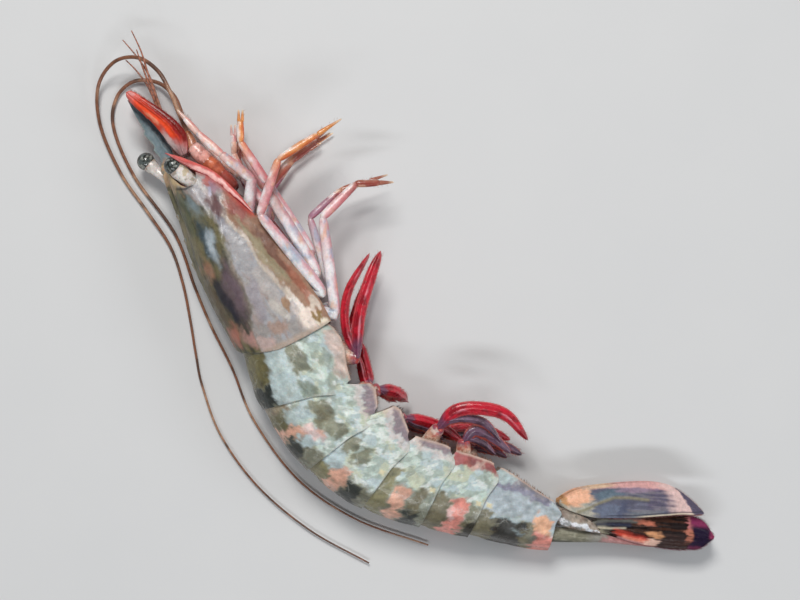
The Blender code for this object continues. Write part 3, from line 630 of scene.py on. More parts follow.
FLANK_MARKS = (
    ((0.36, 0.35, 0.365), 0.85, (26.0, 2.4), (9.5, 2.5), 2.0),
    ((0.33, 0.3, 0.33), 0.8, (13.0, -0.2), (6.0, 1.8), 12.0),
    ((0.33, 0.33, 0.37), 0.7, (34.0, 2.2), (3.4, 1.3), 0.0),
    ((0.47, 0.43, 0.41), 0.7, (14.0, 3.8), (6.0, 1.6), -8.0),
    ((0.39, 0.26, 0.205), 0.8, (4.2, 1.2), (1.7, 2.4), 10.0),
    ((0.39, 0.225, 0.12), 0.85, (9.0, 6.6), (2.8, 0.9), 12.0),
    ((0.56, 0.51, 0.46), 0.8, (7.8, 3.8), (2.8, 1.4), -20.0),
    ((0.56, 0.4, 0.36), 0.75, (1.6, -3.6), (1.4, 2.6), 0.0),
    ((0.15, 0.075, 0.078), 0.92, (39.8, 2.8), (4.8, 2.2), -10.0),
    ((0.35, 0.18, 0.235), 0.8, (44.8, 4.4), (2.6, 1.2), -20.0),
    # painted blue-lilac highlight on the mauve cheek
    ((0.48, 0.46, 0.58), 0.8, (43.4, 3.1), (1.9, 0.55), 20.0),
    ((0.44, 0.13, 0.11), 0.85, (46.6, 4.2), (1.6, 1.0), 60.0),
    ((0.4, 0.39, 0.42), 0.7, (45.0, 0.6), (2.6, 1.2), 0.0),
    ((0.96, 0.8, 0.7), 0.97, (4.8, 9.8), (4.6, 2.8), 15.0),
    ((0.96, 0.86, 0.79), 0.85, (8.8, 8.2), (3.2, 0.9), -20.0),
)
LOWER_MARKS = (
    ((0.34, 0.29, 0.185), 0.85, (22.0, 7.7), (10.5, 1.4), -7.0),
    ((0.38, 0.34, 0.24), 0.7, (29.0, 6.6), (5.0, 0.9), -8.0),
    ((0.36, 0.13, 0.08), 0.85, (13.0, 11.6), (7.0, 1.3), -6.0),
    ((0.18, 0.085, 0.06), 0.85, (23.0, 9.9), (7.0, 1.1), -8.0),
    ((0.33, 0.105, 0.095), 0.85, (36.0, 7.4), (4.0, 1.5), -18.0),
    ((0.56, 0.3, 0.23), 0.75, (8.0, 12.4), (2.4, 0.7), -10.0),
    ((0.8, 0.7, 0.6), 0.75, (5.4, 12.4), (1.3, 1.0), 0.0),
    ((0.28, 0.165, 0.035), 0.9, (2.4, 11.2), (1.3, 0.9), 60.0),
    ((0.9, 0.8, 0.64), 0.95, (0.3, 11.6), (1.3, 1.4), 0.0),
)
# the red behind the rolled edge, then the tan and the black rim of the notch over the eye
FRONT_STREAKS = (
    ((0.52, 0.06, 0.05), 0.95, RIM_LINE, 2.3),
    ((0.62, 0.46, 0.24), 0.9, ((56.0, -3.4), (50.4, -3.4), (48.4, -1.6), (48.2, 1.6)), 0.9),
    ((0.03, 0.03, 0.03), 0.85, ((48.6, -3.6), (47.3, -1.6), (47.2, 0.2)), 0.55),
)


def carapace_tint(ahead, belly, rise, points):
    """Slate, olive and violet along the back, a grey flank, a mauve cheek and a rusty lower zone."""
    u = ahead + 2.4 * grain(ahead, belly, rise, 4.0, 2.0, 1) + 0.6 * cloud(points, 0.9, 2)
    v = belly + 0.9 * grain(ahead, belly, rise, 6.0, 2.6, 3) + 0.25 * cloud(points, 0.9, 4)
    tint = plain(ahead.shape, (0.36, 0.33, 0.315))
    lay(tint, (0.37, 0.37, 0.4), 0.8 * ease(-0.05, 0.3, grain(ahead, belly, rise, 6.0, 2.0, 5)))
    lay(tint, (0.34, 0.26, 0.23), 0.7 * ease(0.1, 0.4, grain(ahead, belly, rise, 5.0, 1.6, 6)))
    lay_marks(tint, u, v, FLANK_MARKS, 1.0)
    back = ease(0.7, -0.7, v - line_at(u, BACK_LINE))
    lay(tint, OLIVE, back * 0.95)
    lay(tint, (0.05, 0.052, 0.04),
        0.8 * back * ease(-0.15, 0.45, grain(ahead, belly, rise, 6.0, 1.2, 7)))
    lay_marks(tint, u, v, BACK_MARKS, back, soft=0.62)
    lower = ease(-0.4, 0.4, v - line_at(u, RUST_LINE)) * ease(44.0, 39.0, u)
    lay(tint, (0.34, 0.19, 0.12), lower * 0.93)
    lay_marks(tint, u, v, LOWER_MARKS, np.maximum(lower, ease(9.0, 5.0, u)))
    # painted pale highlight along the ridge at the top of the rusty lower zone
    ridge = ease(0.8, 0.0, np.abs(v - line_at(u, RUST_LINE) + 0.4))
    lay(tint, (0.6, 0.5, 0.4), 0.75 * ridge * ease(6.0, 10.0, u) * ease(40.0, 34.0, u))
    lay_streaks(tint, ahead, belly, FRONT_STREAKS)
    lay(tint, (0.45, 0.34, 0.26), 0.7 * ease(0.8, -0.4, ahead) * ease(-9.0, -6.0, belly))
    return tint


def make_rim(piece):
    """The thick rolled edge under the eye, ending in the spine over the antenna."""
    for side in (-1.0, 1.0):
        path = smooth_path([HEAD.at(a, b, c * side) for (a, b), c in zip(RIM_LINE, RIM_RISE)], RIM_ROWS)
        share = np.linspace(0.0, 1.0, RIM_ROWS)
        half = np.interp(share, np.linspace(0.0, 1.0, len(RIM_HALF)), RIM_HALF)
        net = tube(path, half, half * 0.62, level_across(path), 26)
        place = beside(HEAD, net, path) / half[:, None] + 0.5 * cloud(net, 2.4, 8)
        tint = plain(net.shape[:2], (0.52, 0.055, 0.055))
        front = ease(0.62, 0.78, share)[:, None]
        # painted pale highlight along the rolled edge, fading towards its front end; darker red on its
        # back side, lighter red on its belly side
        lay(tint, (0.94, 0.52, 0.48),
            0.96 * ease(0.62, 0.15, np.abs(place + 0.14)) * (1.0 - 0.75 * front))
        lay(tint, (0.26, 0.01, 0.018), 0.85 * ease(-0.35, -0.8, place))
        lay(tint, (0.74, 0.16, 0.14), 0.8 * ease(0.2, 0.6, place))
        piece.grid(net, tint)


def make_carapace():
    """The head's shell: one arched plate open along the belly, with its rolled front edge."""
    piece = Piece("carapace_shell")
    ahead, around = carapace_net()
    plain_place = carapace_place(ahead, around)
    belly, rise = carapace_section(ahead, around)
    lift = carapace_relief(ahead, around, belly) + 0.14 * cloud(plain_place, 6.0, 9)
    outer = carapace_place(ahead, around, lift)
    centre = HEAD.at(ahead, 0.0, 0.0)
    piece.plate(outer, carapace_tint(ahead, belly, rise, outer), CARAPACE_WALL,
                outer - centre, inner_tint=(0.24, 0.12, 0.09))
    make_rim(piece)
    piece.build(MATERIALS["head_shell"], "head_shell", ["carapace"])


# ---------------------------------------------------------------- the tail's segments

SEGMENT_ROWS = 56
SEGMENT_COLUMNS = 172
SEGMENT_WALL = 0.36
TUCK = 0.05                     # share by which a segment is smaller where the piece before covers it
REAR_OVERLAP = (1.1, 1.1, 1.1, 1.1, 1.1, 0.2)        # how far each rear edge covers the next piece
PLEURON_LOBE = (1.2, 4.8, 4.6, 0.9, 0.6, 0.6)
# share along a segment, and of the lobe's full depth
LOBE_SHAPE = ((0.0, 0.75), (0.12, 1.0), (0.35, 0.92), (0.7, 0.45), (1.0, 0.0))
KEEL_HEIGHT = (0.0, 0.0, 0.1, 0.35, 0.45, 0.55)
STROKE_SLOPE = math.radians(-38.0)      # how the brush-like grain leans on the flank
HINGE_TONE = (0.74, 0.66, 0.44)

# ragged marks on each segment: (colour, strength, (front, rear, top, bottom)), front and rear as
# shares of its length, top and bottom in millimetres towards the belly
SEGMENT_MARKS = (
    ((LILAC, 0.7, (-0.1, 1.1, -6.4, 0.2)), (TAN, 0.8, (-0.5, 0.02, -13.0, -6.0)),
     (OLIVE, 0.93, (0.1, 0.68, -13.0, -6.3)),
     (NAVY, 0.93, (0.7, 1.1, -13.0, -6.0)), (MOSS, 0.9, (0.06, 0.62, 0.2, 4.4)),
     (DARK_MOSS, 0.8, (0.74, 1.1, 0.2, 3.6)), (BLUSH, 0.75, (-0.1, 0.8, 10.6, 15.0))),
    ((LILAC, 0.55, (0.1, 0.45, -6.5, -1.0)), (TAN, 0.85, (-0.1, 0.17, -13.0, -4.6)),
     (OLIVE, 0.9, (0.18, 0.42, -13.0, -6.4)), (SALMON, 0.93, (0.43, 0.59, -13.0, -7.0)),
     (SALMON, 0.85, (0.46, 0.6, -7.4, -4.0)), (PALE_CORAL, 0.85, (0.52, 0.76, -5.0, -1.4)),
     (SALMON, 0.8, (0.62, 0.78, -2.0, -0.2)),
     (NAVY, 0.88, (0.62, 0.86, -13.0, -7.2)), (LILAC, 0.85, (0.62, 0.86, -7.2, -3.6)),
     (MOSS, 0.92, (0.18, 0.94, -0.5, 4.2)), (OLIVE_BROWN, 0.6, (0.3, 0.6, 0.4, 3.0))),
    ((LILAC, 0.85, (-0.05, 0.33, -6.0, -0.8)), (OLIVE_TAN, 0.88, (-0.1, 0.33, -13.0, -6.0)),
     (SALMON, 0.95, (0.36, 0.58, -13.0, -3.6)), (NAVY, 0.9, (0.61, 0.94, -13.0, -5.4)),
     (MOSS, 0.92, (0.13, 0.31, -1.2, 3.8)), (MOSS, 0.88, (0.4, 0.64, -1.6, 4.0)),
     (BLUSH, 0.6, (-0.2, 0.3, 12.6, 17.0))),
    ((OLIVE_TAN, 0.9, (-0.1, 0.34, -13.0, 2.6)), (OLIVE_GREY, 0.7, (0.34, 1.1, -13.0, -0.6)),
     (SALMON, 0.95, (0.39, 0.64, -12.0, -1.2)), (NAVY, 0.92, (0.69, 0.98, -13.0, -6.6)),
     (OLIVE_BROWN, 0.85, (0.7, 0.96, -6.6, 0.4)), (BLUSH, 0.6, (-0.2, 0.4, 11.6, 16.0))),
    ((OLIVE_BROWN, 0.92, (-0.1, 0.42, -13.0, 0.1)), (OLIVE_BROWN, 0.8, (0.82, 1.2, -13.0, -0.2)),
     (CORAL, 0.97, (0.43, 0.8, -13.0, -0.1)), (PALE_CORAL, 0.8, (0.42, 0.62, -5.6, -3.2)),
     (BLACK, 0.85, (0.88, 1.2, -13.0, -5.0)),
     (WINE, 0.88, (0.1, 1.2, 8.6, 15.0)), (BLUSH, 0.8, (0.52, 0.76, 8.6, 11.0))),
    ((BLUE_GREY, 0.85, (-0.1, 1.1, -0.6, 6.2)), (OLIVE_BROWN, 0.9, (-0.1, 0.3, -12.0, -0.4)),
     (SOOT, 0.95, (0.26, 0.66, -12.0, -0.9)), (OLIVE_BROWN, 0.85, (0.62, 0.8, -8.0, -0.6)),
     # these two lilac marks are painted blue-white highlights on the dark back
     (LILAC, 0.7, (0.24, 0.56, -1.6, -0.6)), (LILAC, 0.6, (0.56, 0.62, -4.2, -3.4)),
     (SOOT, 0.7, (0.7, 1.1, -12.0, -8.0)), (CORAL, 0.97, (0.75, 1.1, -9.0, -2.0)),
     (PEACH, 0.95, (0.74, 0.96, -2.4, 2.6)), (INDIGO, 0.92, (0.04, 0.95, 5.9, 7.9)),
     ((0.23, 0.19, 0.22), 0.85, (0.3, 1.1, 7.6, 12.0)), (LILAC, 0.7, (-0.1, 0.34, 7.6, 12.0))),
)
# where the purple of a side lobe begins, as (share along, belly)
FRINGE_LINES = {1: ((0.0, 14.6), (0.45, 13.2), (1.0, 10.6)),
                2: ((0.0, 17.5), (0.25, 15.2), (0.6, 12.2), (1.0, 9.8)),
                3: ((0.2, 12.5), (0.45, 11.4), (1.0, 10.2))}
# the small bright side hinges: (segment, share along, belly)
HINGE_BOSSES = ((2, 0.97, 0.4), (3, 0.97, 0.2), (4, 0.97, 0.0), (5, 0.12, 0.4))


def segment_net(index):
    """Share along and place round the body for a segment's points."""
    around = around_net(SEGMENT_ROWS, SEGMENT_COLUMNS)
    side = np.abs(around)
    corner = ease(0.74, 1.0, side)
    front = -0.06 + 0.13 * corner ** 2
    if index == 0:
        front = front - 0.38
    overlap = REAR_OVERLAP[index] + 1.4 * ease(0.55, 0.92, side) - 3.2 * corner ** 3
    rear = 1.0 + overlap / SEGMENT_LENGTH[index]
    share = np.linspace(0.0, 1.0, SEGMENT_ROWS)[:, None]
    return mix(front, rear, share), around


def segment_section(index, t, around):
    """How far towards the belly and up out of the mid-plane each point of a segment lies."""
    inside = np.clip(t, 0.0, 1.0)
    size = 1.0 - TUCK * (1.0 - np.clip(t, -0.45, 1.1)) ** 2
    back = between(BACK_DEPTH, index, t) * size
    belly = between(BELLY_DEPTH, index, t) * size
    width = between(HALF_WIDTH, index, t) * size
    lobe = PLEURON_LOBE[index] * line_at(inside, LOBE_SHAPE)
    belly = belly + lobe * ease(0.55, 1.0, np.abs(around))
    return section(around, back, belly, width)


def segment_place(index, t, around, lift):
    """The outer surface of a segment in metres."""
    depth, rise = lifted(*segment_section(index, t, around), lift)
    rows = []
    for row, frame_here in enumerate(axis_frame(index, share) for share in t.mean(axis=1)):
        slant = between(SEAM_SLANT, index, t[row])
        slide = (t[row] - t[row].mean()) * SEGMENT_LENGTH[index] + slant * depth[row]
        rows.append(frame_here.at(slide, depth[row], rise[row]))
    return np.array(rows)


def segment_relief(index, t, around):
    """Shoulder and lip before the rear edge, a groove near the front, a keel and side ribs."""
    side = np.abs(around)
    shoulder = 0.16 * np.exp(-((t - 0.84) / 0.14) ** 2)
    groove = -0.12 * np.exp(-((t - 0.2) / 0.08) ** 2)
    keel = KEEL_HEIGHT[index] * np.exp(-(side / 0.045) ** 2) * ease(0.0, 0.3, t)
    rib = 0.22 * np.exp(-((side - 0.6 - 0.1 * t) / 0.045) ** 2) * ease(0.05, 0.3, t)
    dish = -0.35 * np.exp(-((side - 0.86) / 0.07) ** 2) * ease(0.1, 0.4, t)
    lip = 0.03 * ease(0.96, 1.06, t)
    return shoulder + groove + keel + rib + dish + lip


def segment_tint(index, t, depth, rise, side, points):
    """Teal flanks with olive patches, dark and pink bands on the back, purple side lobes."""
    length = SEGMENT_LENGTH[index]
    wander = cloud(points, 2.6, 11 + index, 4)
    fine = cloud(points, 0.8, 21 + index)
    a, b = t * length, depth
    cos, sin = math.cos(STROKE_SLOPE), math.sin(STROKE_SLOPE)
    stroke = grain(a * cos - b * sin, a * sin + b * cos, rise, 4.2, 1.5, 61 + index)
    along = t + (1.7 * wander + 0.8 * stroke + 0.3 * fine) / length
    down = depth + 1.2 * cloud(points, 3.0, 31 + index, 4) + 0.8 * stroke + 0.3 * fine
    tint = plain(t.shape, TEAL)
    lay(tint, PALE_TEAL, 0.9 * ease(-0.1, 0.16, stroke + 0.5 * cloud(points, 4.5, 41)))
    stain(tint, points, ((0.6, 0.62, 0.46), 0.75, 0.1, 0.3, 4.0, 42),
          (LILAC, 0.85, 0.06, 0.24, 4.2, 46))
    lay(tint, (0.28, 0.32, 0.27), 0.7 * ease(0.22, 0.45, cloud(points, 3.2, 43) + 0.4 * stroke))
    lay(tint, (0.8, 0.84, 0.8), 0.7 * ease(0.24, 0.5, cloud(points, 3.0, 45) + 0.6 * stroke))
    back = ease(-3.8, -6.2, down)
    lay(tint, (0.2, 0.185, 0.12), 0.85 * back)
    lay(tint, (0.1, 0.095, 0.065), 0.6 * back * ease(0.0, 0.3, stroke))
    for colour, strength, box in SEGMENT_MARKS[index]:
        shade = np.array(colour) * (1.0 + 0.3 * wander + 0.35 * stroke)[..., None]
        lay(tint, shade, strength * patch(along, down, box, (0.6 / length, 0.6)))
    if index in FRINGE_LINES:
        below = down - line_at(along, FRINGE_LINES[index])
        lay(tint, (0.7, 0.6, 0.58), 0.75 * ease(1.5, 0.2, np.abs(below + 1.0)))
        lay(tint, PURPLE_GREY, 0.93 * ease(-0.5, 0.5, below))
        lay(tint, (0.4, 0.3, 0.32), 0.6 * ease(0.2, 0.6, below) * ease(0.0, 0.3, stroke))
    for segment, share, belly in HINGE_BOSSES:
        if segment == index:
            for sizes, turn in (((0.8, 0.5), 40.0), ((1.1, 0.3), -30.0)):
                lay(tint, HINGE_TONE, 0.9 * spot(a - share * length, b - belly, (0.0, 0.0), sizes,
                                                 turn=turn))
    lay(tint, (0.62, 0.46, 0.38), 0.85 * ease(0.968, 0.988, side))
    lay(tint, (0.52, 0.54, 0.48), 0.45 * ease(1.045, 1.06, t) * ease(-6.0, -2.0, down))
    # painted shade: darker where the front of the segment lies under the piece ahead
    lay(tint, (0.12, 0.12, 0.1), 0.25 * ease(0.0, -0.04, t))
    return tint


def fringe_lobe(piece, index, outer):
    """Short stiff bristles on the lower edges of both side lobes."""
    chooser = random.Random(100 + index)
    dark = (0.03, 0.02, 0.02) if index == 2 else (0.34, 0.16, 0.09)
    for column, inner_column in ((0, 4), (-1, -5)):
        rows = some_rows(chooser, 6, SEGMENT_ROWS - 4, 46)
        roots = outer[rows, column]
        ways = unit(roots - outer[rows, inner_column]) + leans(chooser, 0.3, len(rows))
        bristles(piece, roots, ways, chooser, (0.5, 1.1), 0.05, dark)


def make_segment(index):
    """One arched plate of the tail, which slides under the piece in front of it."""
    piece = Piece(f"tail_plate_{index + 1}")
    t, around = segment_net(index)
    flat = segment_place(index, t, around, 0.0)
    lift = segment_relief(index, t, around) + 0.16 * cloud(flat, 5.0, 51)
    outer = segment_place(index, t, around, lift)
    centre = np.array([axis_frame(index, share).at(0.0, 0.0, 0.0) for share in t.mean(axis=1)])
    depth, rise = segment_section(index, t, around)
    piece.plate(outer, segment_tint(index, t, depth, rise, np.abs(around), outer), SEGMENT_WALL,
                outer - centre[:, None], inner_tint=(0.36, 0.3, 0.26))
    fringe_lobe(piece, index, outer)
    piece.build(MATERIALS["tail_shell"], "tail_shell", [f"tail_segment_{index + 1}"])


# ---------------------------------------------------------------- leaves, limbs and bristles

def leaf(edge_a, edge_b, normal, thickness, columns, relief):
    """A thin closed blade between two edge lines in metres, thickest along its middle.

    Gives the net of points, and for each its share along and its share across. relief is a
    function of those two, in millimetres, that stands out of the upper face.
    """
    rows = len(edge_a)
    across = np.linspace(0.0, 1.0, columns)
    x = np.concatenate([across, across[::-1]])
    face = np.concatenate([np.ones(columns), -np.ones(columns)])
    t = np.broadcast_to(np.linspace(0.0, 1.0, rows)[:, None], (rows, 2 * columns))
    x = np.broadcast_to(x, t.shape)
    body = np.sqrt(np.clip(1.0 - (2.0 * x - 1.0) ** 2, 0.0, 1.0))
    thick = np.broadcast_to(thickness, rows)[:, None] * (0.12 + 0.88 * body)
    height = thick * face + relief(t, x) * body * np.where(face > 0, 1.0, 0.35)
    net = edge_a[:, None] * (1.0 - x[..., None]) + edge_b[:, None] * x[..., None]
    return net + normal[:, None] * height[..., None] * MM, t, x


def leaf_along(path, across, half, thickness, columns, relief, camber):
    """A leaf with a half width in millimetres to either side of a path in metres."""
    _, across, normal = path_ways(path, across)
    edge = across * half[:, None] * MM
    net, t, x = leaf(path - edge, path + edge, normal, thickness, columns, relief)
    arch = camber * (1.0 - (2.0 * x - 1.0) ** 2)
    return net + normal[:, None] * arch[..., None] * MM, t, x


def outline(t, root, full_at, tip_from, tip):
    """Share of a leaf's full width along it: opening from the root, then rounding off at the tip."""
    opening = mix(root, 1.0, np.sin(np.clip(t / full_at, 0.0, 1.0) * np.pi / 2))
    closing = np.sqrt(np.clip(1.0 - np.clip((t - tip_from) / (1.0 - tip_from), 0.0, 1.0) ** 2.4,
                              tip ** 2, 1.0))
    return opening * closing


def some_rows(chooser, low, high, count):
    """Rows drawn from low up to the one before high."""
    return [chooser.randrange(low, high) for _ in range(count)]


def leans(chooser, most, count):
    """Ways drawn at random that lean by at most so much along each axis."""
    return np.array([[chooser.uniform(-most, most) for _ in range(3)] for _ in range(count)])


def bristles(piece, roots, ways, chooser, span, radius, tint):
    """Thin tapered spines from roots in metres. Their lengths are drawn from a span, and it and
    the radius are in millimetres."""
    count = len(roots)
    ways = unit(ways)
    lengths = np.array([chooser.uniform(*span) for _ in range(count)])[:, None] * MM
    side = unit(np.cross(ways, np.array((0.31, 0.52, 0.79))))
    other = np.cross(ways, side)
    points = []
    for level, width in ((0.0, 1.0), (0.55, 0.7)):
        middle = roots + ways * lengths * level
        for corner in range(3):
            angle = 2.0 * math.pi * corner / 3
            points.append(middle + (side * math.cos(angle) + other * math.sin(angle))
                          * radius * width * MM)
    points.append(roots + ways * lengths)
    stacked = np.stack(points, axis=1)
    pattern = [[0, 2, 1], [0, 1, 4, 3], [1, 2, 5, 4], [2, 0, 3, 5], [3, 4, 6], [4, 5, 6], [5, 3, 6]]
    faces = [[index + 7 * number for index in face] for number in range(count) for face in pattern]
    piece.add(stacked, faces, tint)


def edge_bristles(piece, path, across, reach, rows, chooser, lean, tint):
    """Bristles on one edge of a leaf, at some rows of its path. reach is how far the roots lie
    from the path, signed, in millimetres, and lean is how far they point outwards, how far up or
    down at most, and their length at most."""
    outwards, sideways, longest = lean
    tangent, wide, normal = path_ways(path, across)
    edge = wide * reach[:, None]
    roots = path[rows] + edge[rows] * MM
    ways = np.array([wide[row] * math.copysign(outwards, reach[row]) + tangent[row]
                     + normal[row] * chooser.uniform(-sideways, sideways) for row in rows])
    bristles(piece, roots, ways, chooser, (0.5, longest), 0.04, tint)


def article(piece, start, end, first, last, tint, flat=0.85, swell=0.22, rows=18, sides=14):
    """One joint of a limb: a tube between two places in metres, fuller in its middle, with round
    ends. first and last are half thicknesses in millimetres, tint a paint of share and place."""
    s = np.linspace(0.0, 1.0, rows)
    way = unit(end - start)
    path = (start - way * first * 0.5 * MM + s[:, None] * (
        end - start + way * (first + last) * 0.5 * MM))
    full = mix(first, last, s) * (1.0 - swell + swell * 1.5 * np.sin(np.pi * s) ** 0.7)
    full = full * (1.0 + 0.1 * ease(0.8, 0.93, s))
    full = full * np.sqrt(np.clip(1.0 - np.abs(2.0 * s - 1.0) ** 9, 0.02, 1.0))
    net = tube(path, full, full * flat, level_across(path), sides)
    piece.grid(net, tint(s, net))


def along_colours(*stops, stains=()):
    """A paint that blends (share, colour) stops along, under (colour, strength, size) stains."""
    shares = [share for share, _ in stops]

    def tint(share, net):
        line = np.stack([np.interp(share, shares, [colour[part] for _, colour in stops])
                         for part in range(3)], axis=-1)
        painted = np.array(np.broadcast_to(line[:, None], net.shape))
        for order, (colour, strength, size) in enumerate(stains):
            lay(painted, colour, strength * ease(0.18, 0.36, cloud(net, size, 55 + order)))
        return painted
    return tint


def frame_places(frame_here, net):
    """How far along a frame and towards its belly each point of a net lies, in millimetres."""
    offset = net / MM - frame_here.origin
    return offset @ frame_here.along, offset @ frame_here.belly


# ---------------------------------------------------------------- rostrum, eyes and feelers

ROSTRUM_ROOT = 26.0
ROSTRUM_TIP = 76.0
ROSTRUM_ROWS = 340
ROSTRUM_UPPER = ((26.0, -10.4), (34.0, -8.9), (42.0, -6.9), (50.0, -5.4), (55.0, -4.3), (59.0, -3.0),
                 (64.0, -3.1), (71.0, -3.3), (76.0, -3.0))
ROSTRUM_LOWER = ((26.0, -9.2), (34.0, -7.6), (42.0, -5.2), (50.0, -2.2), (57.0, 0.9), (61.4, 0.4),
                 (66.2, -0.1), (71.0, -1.5), (76.0, -2.8))
ROSTRUM_THICKNESS = ((26.0, 0.6), (40.0, 1.3), (56.0, 1.1), (70.0, 0.7), (76.0, 0.2))
UPPER_TEETH = (30.0, 36.5, 43.0, 49.5, 55.5, 61.0, 66.0)     # where each tooth's point lies
LOWER_TEETH = (64.5, 68.5, 72.0)


def sawtooth(ahead, teeth, length, height):
    """Forward-leaning teeth: a slow rise to each point, then a quick drop."""
    total = np.zeros_like(ahead)
    for tip in teeth:
        rise = np.clip((ahead - (tip - length)) / length, 0.0, 1.0) ** 1.6
        total = np.maximum(total, np.where(ahead <= tip, rise, ease(tip + 0.9, tip, ahead)))
    return total * height


def make_rostrum():
    """The toothed blade between the eyes, with a ridge along each flank."""
    piece = Piece("rostrum_blade")
    ahead = np.linspace(ROSTRUM_ROOT, ROSTRUM_TIP, ROSTRUM_ROWS)
    upper = line_at(ahead, ROSTRUM_UPPER) - sawtooth(ahead, UPPER_TEETH, 4.6, 0.75)
    lower = line_at(ahead, ROSTRUM_LOWER) + sawtooth(ahead, LOWER_TEETH, 3.0, 0.35)
    edge_a = HEAD.at(ahead, upper, 0.0)
    edge_b = HEAD.at(ahead, lower, 0.0)
    normal = np.broadcast_to(UP, edge_a.shape)
    thickness = line_at(ahead, ROSTRUM_THICKNESS)

    def carina(t, x):
        return 0.38 * np.exp(-((x - 0.62) / 0.1) ** 2) * ease(0.0, 0.2, t)

    net, t, x = leaf(edge_a, edge_b, normal, thickness, 22, carina)
    grain = cloud(net, 2.0, 61)
    ahead, belly = frame_places(HEAD, net)
    tint = plain(t.shape, (0.2, 0.262, 0.288))
    dark_from = np.interp(ahead, (58.0, 64.0, 70.0, 76.0), (0.2, -0.9, -2.3, -3.1))
    lay(tint, (0.05, 0.072, 0.092), 0.92 * ease(-0.5, 0.5, belly - dark_from + 0.6 * grain)
        * ease(58.0, 62.0, ahead))
    # painted teal highlight along the upper edge towards the tip
    lay(tint, (0.36, 0.43, 0.4), 0.75 * ease(0.14, 0.04, x) * ease(57.0, 60.0, ahead))
    lay(tint, TAN, 0.85 * ease(58.0, 55.0, ahead) * ease(0.35, 0.1, x))
    lay(tint, OLIVE, 0.85 * ease(57.0, 53.0, ahead) * ease(0.25, 0.45, x))
    lay(tint, (0.52, 0.3, 0.18), 0.8 * ease(59.0, 56.0, ahead) * ease(49.0, 52.0, ahead)
        * ease(0.05, 0.3, 0.2 + cloud(net, 1.4, 62)))
    lay(tint, (0.3, 0.06, 0.04), 0.8 * ease(0.97, 0.99, t))
    piece.grid(net, tint)
    piece.build(MATERIALS["head_shell"], "head_shell", [])


EYES = {"right": ((47.4, 0.9, 5.0), (54.4, -1.4, 5.9)), "left": ((52.0, -4.4, -3.0), (60.2, -7.0, -4.6))}
STALK_RADII = {"right": (2.1, 2.0, 2.1, 2.3, 2.2), "left": (1.3, 1.2, 1.4, 1.9, 2.0)}
EYE_BALL = 2.4


def make_eye(side):
    """A pale stalk that widens into a cup, and the dark ball in it."""
    root, centre = (HEAD.at(*point) for point in EYES[side])
    way = unit(centre - root)
    stalk = Piece(f"eye_stalk_{side}")
    s = np.linspace(0.0, 1.0, 40)
    path = root + (centre - root) * s[:, None] * 0.86
    radius = np.interp(s, (0.0, 0.25, 0.6, 0.85, 1.0), STALK_RADII[side])
    net = tube(path, radius, radius * 0.9, level_across(path), 44)
    tint = plain(net.shape[:2], (0.68, 0.62, 0.58))
    stain(tint, net, ((0.82, 0.76, 0.72), 0.9, 0.0, 0.35, 3.0, 63),
          ((0.56, 0.44, 0.24), 0.7, 0.26, 0.46, 2.6, 68), ((0.2, 0.17, 0.09), 0.6, 0.34, 0.48, 1.6, 69))
    lay(tint, (0.4, 0.27, 0.21), 0.7 * ease(0.86, 0.97, s)[:, None])
    stalk.grid(net, tint)
    stalk.build(MATERIALS["limb"], "limb", [])
    ball = Piece(f"eye_ball_{side}")
    turn = np.linspace(0.02, 0.98, 60) * np.pi
    path = centre - way * EYE_BALL * 0.98 * MM * np.cos(turn)[:, None]
    radius = EYE_BALL * np.sin(turn)
    net = tube(path, radius, radius, np.cross(way, UP + 0.01), 72)
    tint = plain(net.shape[:2], (0.095, 0.115, 0.11))
    # pale grey mottles on the dark ball, partly a painted sheen
    stain(tint, net, ((0.34, 0.35, 0.31), 0.8, -0.05, 0.3, 1.5, 64),
          ((0.012, 0.012, 0.01), 0.9, 0.02, 0.2, 0.7, 60))
    ball.grid(net, tint)
    ball.build(MATERIALS["eye"], "eye", [f"eye_{side}"])


SCALE_PATH = ((55.6, 2.6, 5.0), (60.0, 3.2, 5.5), (64.0, 2.7, 5.7), (68.6, 1.3, 5.6), (73.3, -0.6, 5.2),
              (77.2, -2.0, 4.8))
# half its width at shares of its length
SCALE_HALF = ((0.0, 1.1), (0.07, 1.9), (0.2, 2.75), (0.38, 2.6), (0.6, 2.05), (0.8, 1.7),
              (0.92, 1.35), (0.98, 0.95), (1.0, 0.45))
SCALE_ROWS = 150


